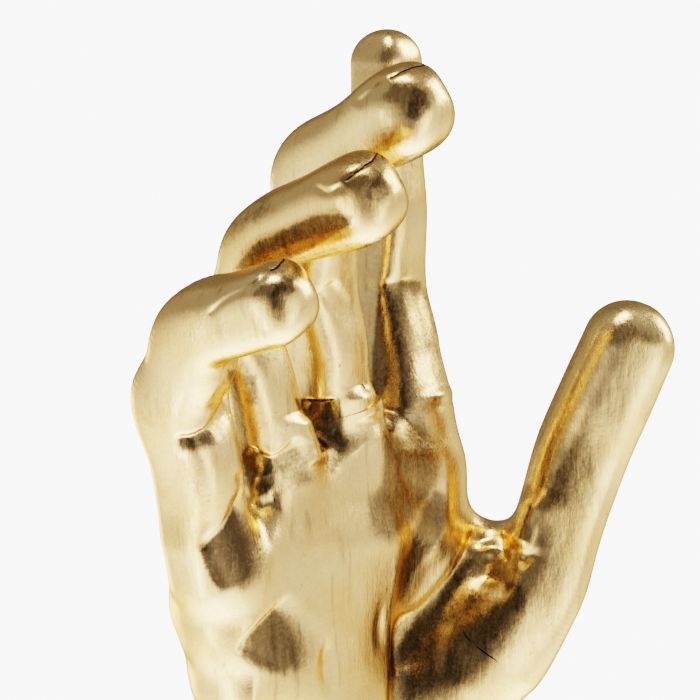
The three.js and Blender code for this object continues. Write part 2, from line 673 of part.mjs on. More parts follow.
add("palm_casting", palmCasting(), GOLD);
for (const digit of digits) {
  add(digit.name, digitCasting(digit), GOLD);
  const start = frameAt(digit, -ROD_LENGTH / 2).P;
  add(`${digit.name}_rod`, rod(ROD_RADIUS, ROD_LENGTH, ROD_CHAMFER, start, digit.axis), STEEL);
}
add("base_plate", basePlate(), PLATE_STEEL);
screwPlaces.forEach((place, i) => add(`base_screw_${i + 1}`, screw(place), STEEL));
add("base_felt", slice(0, FELT_THICKNESS, RIM_WALL + GAP, BASE_SIDES, FELT_THICKNESS), FELT);

export default hand;
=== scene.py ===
"""Gilded hand sculpture: a life-size right hand standing upright on its cut forearm.

The palm casting and the five digit castings are one smooth form, a blend of tapered
bones, pads and bent fingers, that is cut apart at the root joints. Fine creases, nail
grooves and hairline cracks are carved into it, and a worn gold finish covers it, with
painted shade and painted dark reflections laid into its colour.
Lengths are millimetres, and meshes are made in metres.
"""
import logging
import math
from dataclasses import dataclass
from enum import Enum
from typing import Callable, Sequence

import bpy
import numpy as np
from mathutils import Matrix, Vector


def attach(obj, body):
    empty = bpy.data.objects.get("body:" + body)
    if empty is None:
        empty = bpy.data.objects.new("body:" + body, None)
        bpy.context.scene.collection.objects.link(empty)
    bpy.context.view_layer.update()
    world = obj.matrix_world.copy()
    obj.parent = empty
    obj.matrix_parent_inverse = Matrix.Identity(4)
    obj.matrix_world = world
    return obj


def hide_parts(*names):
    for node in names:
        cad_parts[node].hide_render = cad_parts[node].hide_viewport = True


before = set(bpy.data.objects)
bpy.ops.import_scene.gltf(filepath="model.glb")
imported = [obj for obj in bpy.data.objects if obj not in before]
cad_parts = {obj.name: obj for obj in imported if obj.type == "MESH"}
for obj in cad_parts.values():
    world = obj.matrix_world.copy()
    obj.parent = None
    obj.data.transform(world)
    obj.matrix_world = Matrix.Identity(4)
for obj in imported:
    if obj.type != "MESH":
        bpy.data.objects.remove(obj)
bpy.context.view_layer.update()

LOG = logging.getLogger("gilded_hand")
MM = 0.001
Array = np.ndarray
Field = Callable[[Array], Array]

# Overall sizes, as in the CAD model
WRIST_HEIGHT = 55.0
HEEL_LENGTH = 19.0
LANE_PITCH = 22.0
WRIST_DEPTH = 3.0
RIM_LIFT = 0.8
RIM_WALL = 3.2
LEDGE = 5.6
SQUARENESS = 3.0
BASE_CUT = 7.0

# How far the blended form is drawn in from the CAD model's skin before it is carved
SKIN_INSET = 0.12

# The camera, fitted to the photograph
VIEW_AZIMUTH = math.radians(-52)
VIEW_ELEVATION = math.radians(15)
VIEW_DISTANCE = 500.0
VIEW_TARGET = np.array([0.0, -10.0, 165.0])
PICTURE_WIDTH = 140.0
SENSOR_WIDTH = 36.0

# The camera's own directions: back from the target, and the picture's right and up
BACK_WAY = np.array([math.sin(VIEW_AZIMUTH) * math.cos(VIEW_ELEVATION),
                     -math.cos(VIEW_AZIMUTH) * math.cos(VIEW_ELEVATION), math.sin(VIEW_ELEVATION)])
RIGHT_WAY = np.array([math.cos(VIEW_AZIMUTH), math.sin(VIEW_AZIMUTH), 0.0])
UP_WAY = np.cross(BACK_WAY, RIGHT_WAY)

# The hand leans out over its ulnar and palmar side, towards a far point
LEAN = 0.10
LEAN_FOOT = 70.0
LEAN_SIDE = (26.0, 10.0)
LEAN_REACH = 500.0
LEAN_POINT = np.array([-381.0, -307.0, 294.0])


class Piece(Enum):
    """The visible castings, by the CAD node that each one replaces."""

    LITTLE = "little_finger"
    RING = "ring_finger"
    MIDDLE = "middle_finger"
    INDEX = "index_finger"
    THUMB = "thumb"
    PALM = "palm_casting"


class Slot(Enum):
    """The material slots."""

    GOLD = "gilded_casting"
    STEEL = "steel"
    BASE_STEEL = "base_steel"
    FELT = "felt"


LITTLE, RING, MIDDLE, INDEX, THUMB, PALM = Piece
ALL = tuple(Piece)


def unit(vectors: Array) -> Array:
    """Vectors scaled to length one along their last axis."""
    return vectors / np.maximum(np.linalg.norm(vectors, axis=-1, keepdims=True), 1e-12)


def smooth_min(a: Array, b: Array, blend: float) -> Array:
    """The smaller of two distances, rounded over a blend width where they are alike."""
    share = np.clip(0.5 + 0.5 * (b - a) / blend, 0, 1)
    return b * (1 - share) + a * share - blend * share * (1 - share)


def smooth_step(value: Array, low: float, high: float) -> Array:
    """Rises from 0 at low to 1 at high, level at both ends."""
    share = np.clip((value - low) / (high - low), 0, 1)
    return share * share * (3 - 2 * share)


def lean_share(points: Array, across: Array) -> Array:
    """The share of the way to the far point that the lean moves points, by height and side."""
    side = np.clip((LEAN_SIDE[0] - across) / (LEAN_SIDE[0] - LEAN_SIDE[1]), 0, 1)
    return LEAN * side * np.clip(points[..., 2] - LEAN_FOOT, 0, None) / LEAN_REACH


def leaned(points: Sequence[float], across: float | None = None) -> Array:
    """Points moved by the lean.

    Args:
        points: One point or rows of them.
        across: The side that sets the lean, where it isn't each point's own.

    Returns:
        The moved points.
    """
    points = np.asarray(points, float)
    share = lean_share(points, points[..., 0] if across is None else across)
    return points + share[..., None] * (LEAN_POINT - points)


@dataclass
class SmoothTable:
    """A smooth curve through a short list of rows, flat at its peaks."""

    stations: Array
    rows: Array

    def __post_init__(self) -> None:
        """Works out the slopes as harmonic means of the neighbouring steps."""
        self.spans = np.diff(self.stations)
        steps = np.diff(self.rows, axis=0) / self.spans[:, None]
        self.slopes = np.zeros_like(self.rows)
        before, after = steps[:-1], steps[1:]
        alike = before * after > 0
        total = np.where(alike, before + after, 1.0)
        self.slopes[1:-1] = np.where(alike, 2 * before * after / total, 0.0)

    def at(self, place: Array) -> Array:
        """Rows between the stations, by cubic pieces that keep each station's slope.

        Args:
            place: Distances along the curve.

        Returns:
            A row for each distance.
        """
        x = np.clip(place, self.stations[0], self.stations[-1])
        i = np.clip(np.searchsorted(self.stations, x, side="right") - 1, 0, len(self.spans) - 1)
        span = self.spans[i][:, None]
        t = ((x - self.stations[i]) / self.spans[i])[:, None]
        rise = t * t * (3 - 2 * t)
        bend = (t**3 - 2 * t * t + t) * self.slopes[i] + (t**3 - t * t) * self.slopes[i + 1]
        return (1 - rise) * self.rows[i] + rise * self.rows[i + 1] + bend * span


@dataclass(frozen=True, kw_only=True)
class Bones:
    """What fingers and the thumb share.

    Width, back and front are half sizes at the root, mid-segment, joint, mid-segment,
    joint, nail bed and pad. Root depth is how far the digit runs down into the palm, root
    blend is the width over which it melts into it, and joint reach is how far from the
    digit's skin its own side of the root joint goes.
    """

    lengths: tuple
    width: tuple
    back: tuple
    front: tuple
    root_depth: float = 9.0
    root_blend: float = 4.0
    joint_reach: float = 1.6


@dataclass(frozen=True, kw_only=True)
class Finger(Bones):
    """A finger: flex is each segment's angle from upright to the palm."""

    lane: int
    depth: float
    rise: float
    splay: float
    twist: float
    flex: tuple

    def upright(self) -> Array:
        """The way a straight finger points."""
        splay = math.radians(self.splay)
        return np.array([math.sin(splay), 0.0, math.cos(splay)])

    def facing(self) -> Array:
        """The way the finger's front looks.

        Returns:
            A direction square to the straight finger.
        """
        twist = math.radians(self.twist)
        way = np.array([math.sin(twist), -math.cos(twist), 0.0])
        return unit(way - self.upright() * (way @ self.upright()))

    def joints(self) -> Array:
        """The root and the end of each segment.

        Returns:
            Four points, each a segment's length on from the one before.
        """
        points = [np.array([(self.lane - 1.5) * LANE_PITCH, self.depth, WRIST_HEIGHT + self.rise])]
        for length, bend in zip(self.lengths, map(math.radians, self.flex)):
            way = math.cos(bend) * self.upright() + math.sin(bend) * self.facing()
            points.append(points[-1] + length * way)
        return np.array(points)


@dataclass(frozen=True, kw_only=True)
class Thumb(Bones):
    """The thumb: each segment has a tilt from upright and a heading."""

    root: tuple
    tilt: tuple
    heading: tuple
    front_way: tuple
    root_blend: float = 6.0
    joint_reach: float = 2.2

    def facing(self) -> Array:
        """The way the thumb's front looks."""
        return unit(np.array(self.front_way))

    def joints(self) -> Array:
        """The root and the end of each segment.

        Returns:
            Four points, each a segment's length on from the one before.
        """
        points = [np.array(self.root)]
        for length, tilt, heading in zip(self.lengths, np.radians(self.tilt), np.radians(self.heading)):
            across = math.sin(tilt)
            way = np.array([across * math.cos(heading), across * math.sin(heading), math.cos(tilt)])
            points.append(points[-1] + length * way)
        return np.array(points)


BONES = {
    LITTLE: Finger(
        lane=0, depth=-0.3, rise=79, splay=-8, twist=6, lengths=(28.6, 16.0, 26.6), flex=(-4, 24, 67),
        width=(7.8, 7.6, 8.4, 7.8, 7.8, 7.3, 7.6), back=(8.2, 8.0, 10.3, 8.3, 9.2, 7.5, 7.2),
        front=(7.3, 8.8, 7.1, 8.0, 6.9, 7.8, 8.2)),
    RING: Finger(
        lane=1, depth=1.9, rise=88.5, splay=-10, twist=4, lengths=(29.5, 21.5, 34.6), flex=(-9, 28, 67),
        width=(8.2, 7.8, 8.2, 7.4, 7.6, 7.4, 7.9), back=(8.4, 6.9, 6.1, 5.7, 7.1, 7.6, 8.5),
        front=(7.3, 8.4, 6.9, 7.8, 6.7, 8.0, 8.8)),
    MIDDLE: Finger(
        lane=2, depth=3.9, rise=94.5, splay=-5, twist=2, lengths=(24.3, 26, 36.6), flex=(-3, 1, 59),
        width=(8.6, 8.0, 8.4, 7.5, 7.8, 7.6, 8.8), back=(8.6, 7.5, 8.0, 6.9, 8.7, 7.9, 8.9),
        front=(7.3, 8.4, 6.9, 7.8, 6.7, 8.4, 9.7)),
    INDEX: Finger(
        lane=3, depth=2.7, rise=87.5, splay=4, twist=0, lengths=(27.7, 29.4, 24.6), flex=(-8, -3, -6),
        width=(10.6, 9.4, 7.9, 7.0, 7.1, 6.9, 6.8), back=(8.8, 7.4, 7.7, 7.4, 8.0, 7.4, 7.1),
        front=(7.6, 8.6, 6.5, 7.4, 5.9, 7.1, 6.7), root_depth=24.0, root_blend=9.0, joint_reach=3.0),
    THUMB: Thumb(
        root=(37.5, -19.3, 92.6), lengths=(16, 31.6, 34.8), tilt=(40, 18.5, 21.8), heading=(-44, -27, -51),
        front_way=(-0.75, -0.66, 0.0), width=(11.7, 11.1, 10.1, 9.4, 9.9, 9.9, 9.7),
        back=(11.5, 11.1, 10.1, 9.2, 9.7, 8.2, 7.4), front=(11.5, 11.5, 10.8, 9.2, 8.8, 9.4, 9.5)),
}
DIGITS = tuple(BONES)
KNUCKLE_ROUNDING = 6.5
NAIL_BED = 0.4
FINGER_PAD = 0.74
ROOT_ROUNDING = 6.0
ROOT_TAPER = 0.012

# A distance past any point, the most points that are worked out at once, and the least
# squared slope that a step down a field is divided by
FAR = 1e3
CHUNK = 60000
LEAST_SLOPE = 0.05


class DigitForm:
    """A digit as a distance field round a spine that is rounded at its joints."""

    MARGIN = 24

    def __init__(self, piece: Piece) -> None:
        """Builds the spine's points, frames and girths.

        Args:
            piece: The digit.
        """
        bones = BONES[piece]
        self.bones = bones
        upright = bones.joints()
        self.joints = leaned(upright, upright[0, 0])
        self.root, self.upright_root = self.joints[0], upright[0]
        self.axis = unit(self.joints[1] - self.root)
        self.points, self.reach = self.rounded_spine()
        self.length = self.reach[-1]
        self.along = unit(np.gradient(self.points, axis=0))
        facing = bones.facing()
        self.front = unit(facing - (self.along @ facing)[:, None] * self.along)
        self.side = np.cross(self.along, self.front)
        first, second, third = bones.lengths
        places = [0, first / 2, first, first + second / 2, first + second]
        places += [first + second + share * third for share in (NAIL_BED, FINGER_PAD)]
        stations = np.array(places) * self.length / sum(bones.lengths)
        girths = np.array([bones.width, bones.back, bones.front], float).T
        self.girths = SmoothTable(stations, girths * (1 - lean_share(upright, upright[0, 0]).mean()))
        self.cap = self.girths.rows[-1].max()
        self.root_girth = float(self.girths.rows[0].mean())

    def rounded_spine(self) -> tuple[Array, Array]:
        """Straight runs joined by quadratic curves, resampled about every millimetre.

        Returns:
            The points and their distances from the root.
        """
        share = np.linspace(0, 1, 40, endpoint=False)[:, None]
        runs, start = [], self.joints[0]
        for before, joint, after in zip(self.joints, self.joints[1:], self.joints[2:]):
            leave = joint - unit(joint - before) * KNUCKLE_ROUNDING
            arrive = joint + unit(after - joint) * KNUCKLE_ROUNDING
            runs.append(start * (1 - share) + leave * share)
            runs.append(leave * (1 - share) ** 2 + 2 * joint * share * (1 - share) + arrive * share**2)
            start = arrive
        runs.append(start * (1 - share) + self.joints[-1] * share)
        raw = np.vstack([*runs, self.joints[-1:]])
        reach = np.concatenate([[0], np.cumsum(np.linalg.norm(np.diff(raw, axis=0), axis=1))])
        even = np.linspace(0, reach[-1], int(reach[-1]) + 1)
        return np.stack([np.interp(even, reach, raw[:, k]) for k in range(3)], 1), even

    def local(self, points: Array) -> Array:
        """Where points lie about the spine, in the frame of its nearest point.

        Args:
            points: Rows of points.

        Returns:
            For each, the distance along the spine, to the side and to the front.
        """
        apart = (points**2).sum(1)[:, None] - 2 * points @ self.points.T + (self.points**2).sum(1)
        near = apart.argmin(1)
        offset = points - self.points[near]
        ahead = (offset * self.along[near]).sum(1)
        end = (near == 0) | (near == len(self.points) - 1)
        along = self.reach[near] + np.where(end, ahead, np.clip(ahead, -1, 1))
        side = (offset * self.side[near]).sum(1)
        front = (offset * self.front[near]).sum(1)
        return np.stack([along, side, front], 1)

    def distance(self, points: Array) -> Array:
        """Distance to the digit, whose sections are superellipses, round at the tip and root.

        A point's scale is how many times the section has to grow to reach it, and the
        distance is its way from the spine, less that way over the scale.

        Args:
            points: Rows of points.

        Returns:
            A distance for each, negative inside and far for points well away.
        """
        out = np.full(len(points), FAR)
        low, high = self.points.min(0) - self.MARGIN, self.points.max(0) + self.MARGIN
        chosen = np.flatnonzero(np.all((points > low) & (points < high), axis=1))
        for part in np.array_split(chosen, len(chosen) // CHUNK + 1):
            along, side, front = self.local(points[part]).T
            taper = 1 + ROOT_TAPER * np.clip(along, -self.bones.root_depth, 0)
            width, back, fore = self.girths.at(along).T * taper
            depth = np.where(front < 0, back, fore)
            powers = (np.abs(side) / width) ** SQUARENESS + (np.abs(front) / depth) ** SQUARENESS
            ring = powers ** (2 / SQUARENESS)
            over = np.clip((along - (self.length - self.cap)) / self.cap, 0, None)
            under = np.clip((-self.bones.root_depth - along) / ROOT_ROUNDING, 0, None)
            scale = np.sqrt(ring + over**2 + under**2) + 1e-9
            reach = np.sqrt(side**2 + front**2 + (over * self.cap) ** 2 + (under * ROOT_ROUNDING) ** 2)
            out[part] = (reach + 1e-9) * (1 - 1 / scale)
        return out


@dataclass(frozen=True)
class Limb:
    """A tapered limb with round ends, flattened along Y, and how wide it blends in."""

    start: Sequence[float]
    end: Sequence[float]
    radii: tuple
    blend: float = 4.0
    flatness: float = 1.0
    leans: bool = True

    def distance(self, points: Array) -> Array:
        """Distance to the limb's skin: to its middle line, less the radius there.

        Args:
            points: Rows of points.

        Returns:
            A distance for each, negative inside.
        """
        squeeze = np.array([1, 1 / self.flatness, 1])
        ends = [leaned(end) if self.leans else np.asarray(end) for end in (self.start, self.end)]
        start, end = (end * squeeze for end in ends)
        way = end - start
        offset = points * squeeze - start
        share = np.clip(offset @ way / (way @ way), 0, 1)
        apart = np.linalg.norm(offset - share[:, None] * way, axis=1)
        return (apart - (self.radii[0] + (self.radii[1] - self.radii[0]) * share)) * self.flatness


@dataclass(frozen=True)
class PalmSizes:
    """Forms of the palm, as offsets from the heel of the hand or from a digit's root.

    Hypothenar, thenar, web and hollow are (start, end, radii, blend): the pads under the
    little finger and the thumb, the web between thumb and index finger, and the palm's
    middle. Melts are the blends inside a group of limbs and of the group with the rest.
    """

    forearm: tuple = (29.9, 24.5)
    forearm_flatness: float = 0.74
    forearm_foot: float = -10.0
    carpus: tuple = (24.0, 23.0)
    carpus_sink: float = 3.0
    carpus_blend: float = 10.0
    wrist_flatness: float = 0.66
    metacarpal_depth: float = 4.0
    metacarpal_foot: float = -2.0
    metacarpals: tuple = (
        (-11, (7, 3.8, -18), (9, 7.4)),
        (-6, (0.5, 2.1, -19.5), (11, 9)),
        (4, (0, 1.1, -21.5), (11, 9.5)),
        (13, (1.5, -0.2, -20.5), (11, 10.3)))
    metacarpal_melts: tuple = (12, 8)
    pads: tuple = (
        ((3.0, -1.4, -9), (8.5, -2.9, -33), (8.4, 8.6)),
        ((0.0, -2.6, -10), (1.5, -1.4, -28), (8.5, 9.2)),
        ((0.0, -3.0, -10.5), (-1.0, -1.3, -28.5), (8.7, 9.2)),
        ((1.2, -4.8, -12), (-3.2, -6.6, -36), (9.4, 9.6)))
    pad_melts: tuple = (3, 8)
    web_rows: tuple = ((0, 8.7), (0.5, 9.6), (1, 9.8))
    web_offset: tuple = (0, 0.4, -1)
    hypothenar: tuple = ((-8, -2, -4), (12.5, -4.7, -33), (10.5, 8.3), 10)
    thenar: tuple = ((17, -4, -4), (0, 0.8, 3.4), (14, 12), 10)
    web: tuple = ((2.5, -3.7, -31.5), (6.5, 5.3, 16.4), (9.4, 8.6), 8)
    hollow: tuple = ((-5, -0.5, 10), (3, -0.5, 42), (9, 8), 8)
    knuckles: tuple = ((5.4, 4.9, -14), (0.8, 5.7, -17), (-0.5, 4.7, -19), (-1.8, 3.9, -18))
    knuckle_radius: float = 6.8
    knuckle_length: float = 3.0
    stump_length: float = 18.0
    stump_taper: tuple = (0.72, 0.985)
    stump_blend: float = 5.0


class PalmForm:
    """The palm, wrist and forearm as limbs that melt into each other."""

    def __init__(self, digits: dict[Piece, DigitForm], sizes: PalmSizes = PalmSizes()) -> None:
        """Places every limb.

        Args:
            digits: The digit forms.
            sizes: The palm's sizes.
        """
        self.sizes = sizes
        heel = np.array([0, 0, WRIST_HEIGHT + HEEL_LENGTH])
        wrist = np.array([0, WRIST_DEPTH, WRIST_HEIGHT])
        roots = {piece: digits[piece].upright_root for piece in DIGITS}
        self.forearm = Limb((0, 0, sizes.forearm_foot), wrist, sizes.forearm, flatness=sizes.forearm_flatness)
        self.carpus = Limb(wrist - (0, 0, sizes.carpus_sink), heel + (1, WRIST_DEPTH, 0), sizes.carpus,
                           sizes.carpus_blend, sizes.wrist_flatness)
        self.bones = [
            Limb(heel + (foot, sizes.metacarpal_depth, sizes.metacarpal_foot), root + head, radii)
            for (foot, head, radii), root in zip(sizes.metacarpals, roots.values())]
        heads, feet = (
            [root + pad[end] for root, pad in zip(roots.values(), sizes.pads)] for end in (0, 1))
        self.sheet = [Limb(foot, head, pad[2][::-1]) for head, foot, pad in zip(heads, feet, sizes.pads)]
        for share, radius in sizes.web_rows:
            row = [head + share * (foot - head) + sizes.web_offset for head, foot in zip(heads, feet)]
            self.sheet += [Limb(a, b, (radius, radius)) for a, b in zip(row, row[1:])]
        self.limbs = [
            Limb(start + form[0], end + form[1], *form[2:]) for start, end, form in (
                (heel, roots[LITTLE], sizes.hypothenar), (heel, roots[THUMB], sizes.thenar),
                (roots[INDEX], roots[THUMB], sizes.web), (heel, heel, sizes.hollow))]
        knuckle = (sizes.knuckle_radius, sizes.knuckle_radius)
        for root, offset in zip(roots.values(), sizes.knuckles):
            high = root + offset
            self.limbs.append(Limb(high, high - (0, 0, sizes.knuckle_length), knuckle))
        for form in digits.values():
            deep, near = form.root - sizes.stump_length * form.axis, form.root - form.axis
            taper = tuple(form.root_girth * share for share in sizes.stump_taper)
            self.limbs.append(Limb(deep, near, taper, sizes.stump_blend, leans=False))

    def distance(self, points: Array) -> Array:
        """Distance to the palm's skin: the smooth smallest over all its limbs.

        Args:
            points: Rows of points.

        Returns:
            A distance for each, negative inside.
        """
        out = smooth_min(self.forearm.distance(points), self.carpus.distance(points), self.carpus.blend)
        groups = ((self.bones, self.sizes.metacarpal_melts), (self.sheet, self.sizes.pad_melts))
        for group, (melt, blend) in groups:
            joined = group[0].distance(points)
            for limb in group[1:]:
                joined = smooth_min(joined, limb.distance(points), melt)
            out = smooth_min(out, joined, blend)
        for limb in self.limbs:
            out = smooth_min(out, limb.distance(points), limb.blend)
        return out


class HandForm:
    """The whole hand: the palm with each digit blended into its stump."""

    def __init__(self) -> None:
        """Builds the digits, then the palm on their roots."""
        self.digits = {piece: DigitForm(piece) for piece in DIGITS}
        self.palm = PalmForm(self.digits)

    def digit_skin(self, piece: Piece, points: Array) -> Array:
        """Distance to the palm with one digit blended into it."""
        palm, digit = self.palm.distance(points), self.digits[piece].distance(points)
        return smooth_min(palm, digit, BONES[piece].root_blend) + SKIN_INSET

    def palm_skin(self, points: Array) -> Array:
        """Distance to the palm with every digit blended into it.

        Args:
            points: Rows of points.

        Returns:
            A distance for each, negative inside.
        """
        palm = self.palm.distance(points)
        out = palm.copy()
        for piece, digit in self.digits.items():
            blend = BONES[piece].root_blend
            apart = digit.distance(points)
            near = np.flatnonzero(apart < 3 * blend)
            out[near] = np.minimum(out[near], smooth_min(palm[near], apart[near], blend))
        return out + SKIN_INSET

    def digit_side(self, piece: Piece, points: Array) -> Array:
        """Tells a digit's side of its root joint, a plane across its axis, from the palm's.

        Args:
            piece: The digit.
            points: Rows of points.

        Returns:
            A value for each, negative over the root and near the digit.
        """
        digit = self.digits[piece]
        height = (points - digit.root) @ digit.axis
        return np.maximum(-height, digit.distance(points) - BONES[piece].joint_reach)

    def palm_side(self, points: Array) -> Array:
        """Tells the palm's side of every root joint and of the base's rim.

        Args:
            points: Rows of points.

        Returns:
            A value for each, negative on the palm's side.
        """
        out = BASE_CUT - points[:, 2]
        for piece in DIGITS:
            out = np.maximum(out, -self.digit_side(piece, points))
        return out


def surface_net(distance: Field, low: Sequence[float], high: Sequence[float], cell: float) -> "Skin":
    """A skin where the distance is zero: one point in each grid cell that the skin crosses.

    A point is the mean of the crossings on its cell's edges, and each crossed grid edge
    gives a quad of the four cells round it.

    Args:
        distance: The field, negative inside.
        low: The grid's lowest corner.
        high: The grid's highest corner.
        cell: The grid's pitch.

    Returns:
        The skin, its faces turned outwards.
    """
    low = np.array(low, float)
    size = np.ceil((np.array(high) - low) / cell).astype(int) + 1
    axes = [low[k] + cell * np.arange(size[k]) for k in range(3)]
    grid = np.stack(np.meshgrid(*axes, indexing="ij"), -1).reshape(-1, 3)
    value = distance(grid).reshape(size)
    inside = value < 0
    steps = np.eye(3, dtype=int)
    corners = [(i, j, k) for i in (0, 1) for j in (0, 1) for k in (0, 1)]
    count = sum(inside[tuple(slice(o, n - 1 + o) for o, n in zip(corner, size))].astype(int)
                for corner in corners)
    active = (count > 0) & (count < 8)
    cells = np.argwhere(active)
    number = np.full(active.shape, -1)
    number[active] = np.arange(len(cells))
    total, crossings = np.zeros((len(cells), 3)), np.zeros(len(cells))
    for start, axis in ((start, axis) for start in corners for axis in range(3) if not start[axis]):
        step = steps[axis]
        a, b = value[tuple((cells + start).T)], value[tuple((cells + start + step).T)]
        crossed = (a < 0) != (b < 0)
        share = np.where(crossed, a / np.where(crossed, a - b, 1), 0)
        total += np.where(crossed[:, None], start + share[:, None] * step, 0)
        crossings += crossed
    points = low + cell * (cells + total / crossings[:, None])
    quads = []
    for axis in range(3):
        step, b, c = (steps[(axis + k) % 3] for k in range(3))
        lower = tuple(slice(0 if k == axis else 1, size[k] - 1) for k in range(3))
        upper = tuple(slice(1, size[k]) if k == axis else lower[k] for k in range(3))
        edge = np.argwhere(inside[lower] != inside[upper]) + (1 - step)
        around = np.stack([number[tuple((edge - o).T)] for o in (b + c, c, 0 * b, b)], 1)
        leaves = inside[tuple(edge.T)]
        quads.append(np.where(leaves[:, None], around, around[:, ::-1]))
    return Skin(points, np.vstack(quads), np.zeros((0, 3), int))


@dataclass
class Skin:
    """A skin of quads and triangles that can be cut along a label and split finer."""

    points: Array
    quads: Array
    triangles: Array

    def edges(self) -> Array:
        """Every face's directed edges."""
        return np.vstack([np.stack([faces, np.roll(faces, -1, axis=1)], 2).reshape(-1, 2)
                          for faces in (self.quads, self.triangles)])

    def rim(self) -> Array:
        """The directed edges that only one face has.

        Returns:
            Rows of two point numbers.
        """
        edges = self.edges()
        keys = edges[:, 0] * len(self.points) + edges[:, 1]
        twins = edges[:, 1] * len(self.points) + edges[:, 0]
        return edges[~np.isin(keys, twins)]

    def loops(self) -> list[Array]:
        """The rim as closed loops.

        Returns:
            Each loop's point numbers in order, the longest loop first.
        """
        follow: dict[int, list[int]] = {}
        for a, b in self.rim().tolist():
            follow.setdefault(a, []).append(b)
        found = []
        while follow:
            loop, here = [], next(iter(follow))
            while here in follow:
                loop.append(here)
                ahead = follow[here].pop()
                if not follow[here]:
                    del follow[here]
                here = ahead
            found.append(np.array(loop))
        return sorted(found, key=len, reverse=True)

    def compact(self) -> "Skin":
        """The same skin without the points that no face uses.

        Returns:
            A skin with its points numbered anew.
        """
        used = np.unique(np.concatenate([self.quads.ravel(), self.triangles.ravel()]))
        number = np.zeros(len(self.points), int)
        number[used] = np.arange(len(used))
        return Skin(self.points[used], number[self.quads], number[self.triangles])

    def largest(self) -> "Skin":
        """The biggest connected part: each point takes its neighbours' lowest group name.

        Returns:
            A skin of that part alone.
        """
        group = np.arange(len(self.points))
        edges = self.edges()
        before = None
        while before is None or (group != before).any():
            before = group.copy()
            low = np.minimum(group[edges[:, 0]], group[edges[:, 1]])
            np.minimum.at(group, edges[:, 0], low)
            np.minimum.at(group, edges[:, 1], low)
            group = group[group]
        names, counts = np.unique(group[edges[:, 0]], return_counts=True)
        kept = group == names[counts.argmax()]
        quads, triangles = (faces[kept[faces[:, 0]]] for faces in (self.quads, self.triangles))
        return Skin(self.points, quads, triangles).compact()

    def refined(self) -> "Skin":
        """Each face split into quads at its edge middles and its centre.

        Returns:
            The finer skin.
        """
        count = len(self.points)
        pairs = np.sort(self.edges(), axis=1)
        keys, inverse = np.unique(pairs[:, 0] * count + pairs[:, 1], return_inverse=True)
        middles = self.points[np.stack([keys // count, keys % count], 1)].mean(1)
        points, quads, at = [self.points, middles], [], 0
        first_centre = count + len(middles)
        for faces in (self.quads, self.triangles):
            sides = faces.shape[1]
            edge = count + inverse[at:at + faces.size].reshape(-1, sides)
            centre = (first_centre + np.arange(len(faces)))[:, None]
            quads += [np.concatenate([faces[:, [i]], edge[:, [i]], centre, edge[:, [i - 1]]], 1)
                      for i in range(sides)]
            points.append(self.points[faces].mean(1))
            at += faces.size
            first_centre += len(faces)
        return Skin(np.vstack(points), np.vstack(quads), np.zeros((0, 3), int))

    def relaxed(self, share: float = 0.5) -> Array:
        """Points drawn to the mean of their neighbours, on the rim to their rim neighbours.

        Args:
            share: How far they go to it.

        Returns:
            The moved points.
        """
        edges, rim = self.edges(), self.rim()
        on_rim = np.zeros(len(self.points), bool)
        on_rim[rim] = True
        both = np.vstack([edges[~on_rim[edges[:, 0]]], rim, rim[:, ::-1]])
        total, count = np.zeros_like(self.points), np.zeros(len(self.points))
        np.add.at(total, both[:, 0], self.points[both[:, 1]])
        np.add.at(count, both[:, 0], 1)
        mean = total / np.maximum(count, 1)[:, None]
        return np.where((count > 0)[:, None], self.points + share * (mean - self.points), self.points)


def slope_of(distance: Field, points: Array, reach: float = 0.05) -> Array:
    """A field's slope by differences along the axes."""
    return np.stack([(distance(points + step) - distance(points - step)) / (2 * reach)
                     for step in np.eye(3) * reach], 1)


def settle(distance: Field, points: Array, turns: int = 1, stride: float = 0.5) -> Array:
    """Draws points onto a field's zero, each turn by its value over its slope.

    Args:
        distance: The field.
        points: Rows of points near its zero.
        turns: How many steps they take.
        stride: The longest step.

    Returns:
        The moved points.
    """
    for _ in range(turns):
        slope = slope_of(distance, points)
        step = distance(points) / np.maximum((slope**2).sum(1), LEAST_SLOPE)
        points = points - slope * np.clip(step, -stride, stride)[:, None]
    return points


def buffed(points: Array, edges: Array, share: Array, turns: int) -> Array:
    """Points drawn again and again towards the mean of their neighbours.

    Args:
        points: Rows of points.
        edges: Directed edges, each point's to its neighbours.
        share: How far each point goes to that mean.
        turns: How many times.

    Returns:
        The moved points.
    """
    start, end = edges[share[edges[:, 0]] > 0].T
    count = np.maximum(np.bincount(start, minlength=len(points)), 1)[:, None]
    for _ in range(turns):
        total = np.stack([np.bincount(start, points[end, k], len(points)) for k in range(3)], 1)
        points = points + share[:, None] * (total / count - points)
    return points


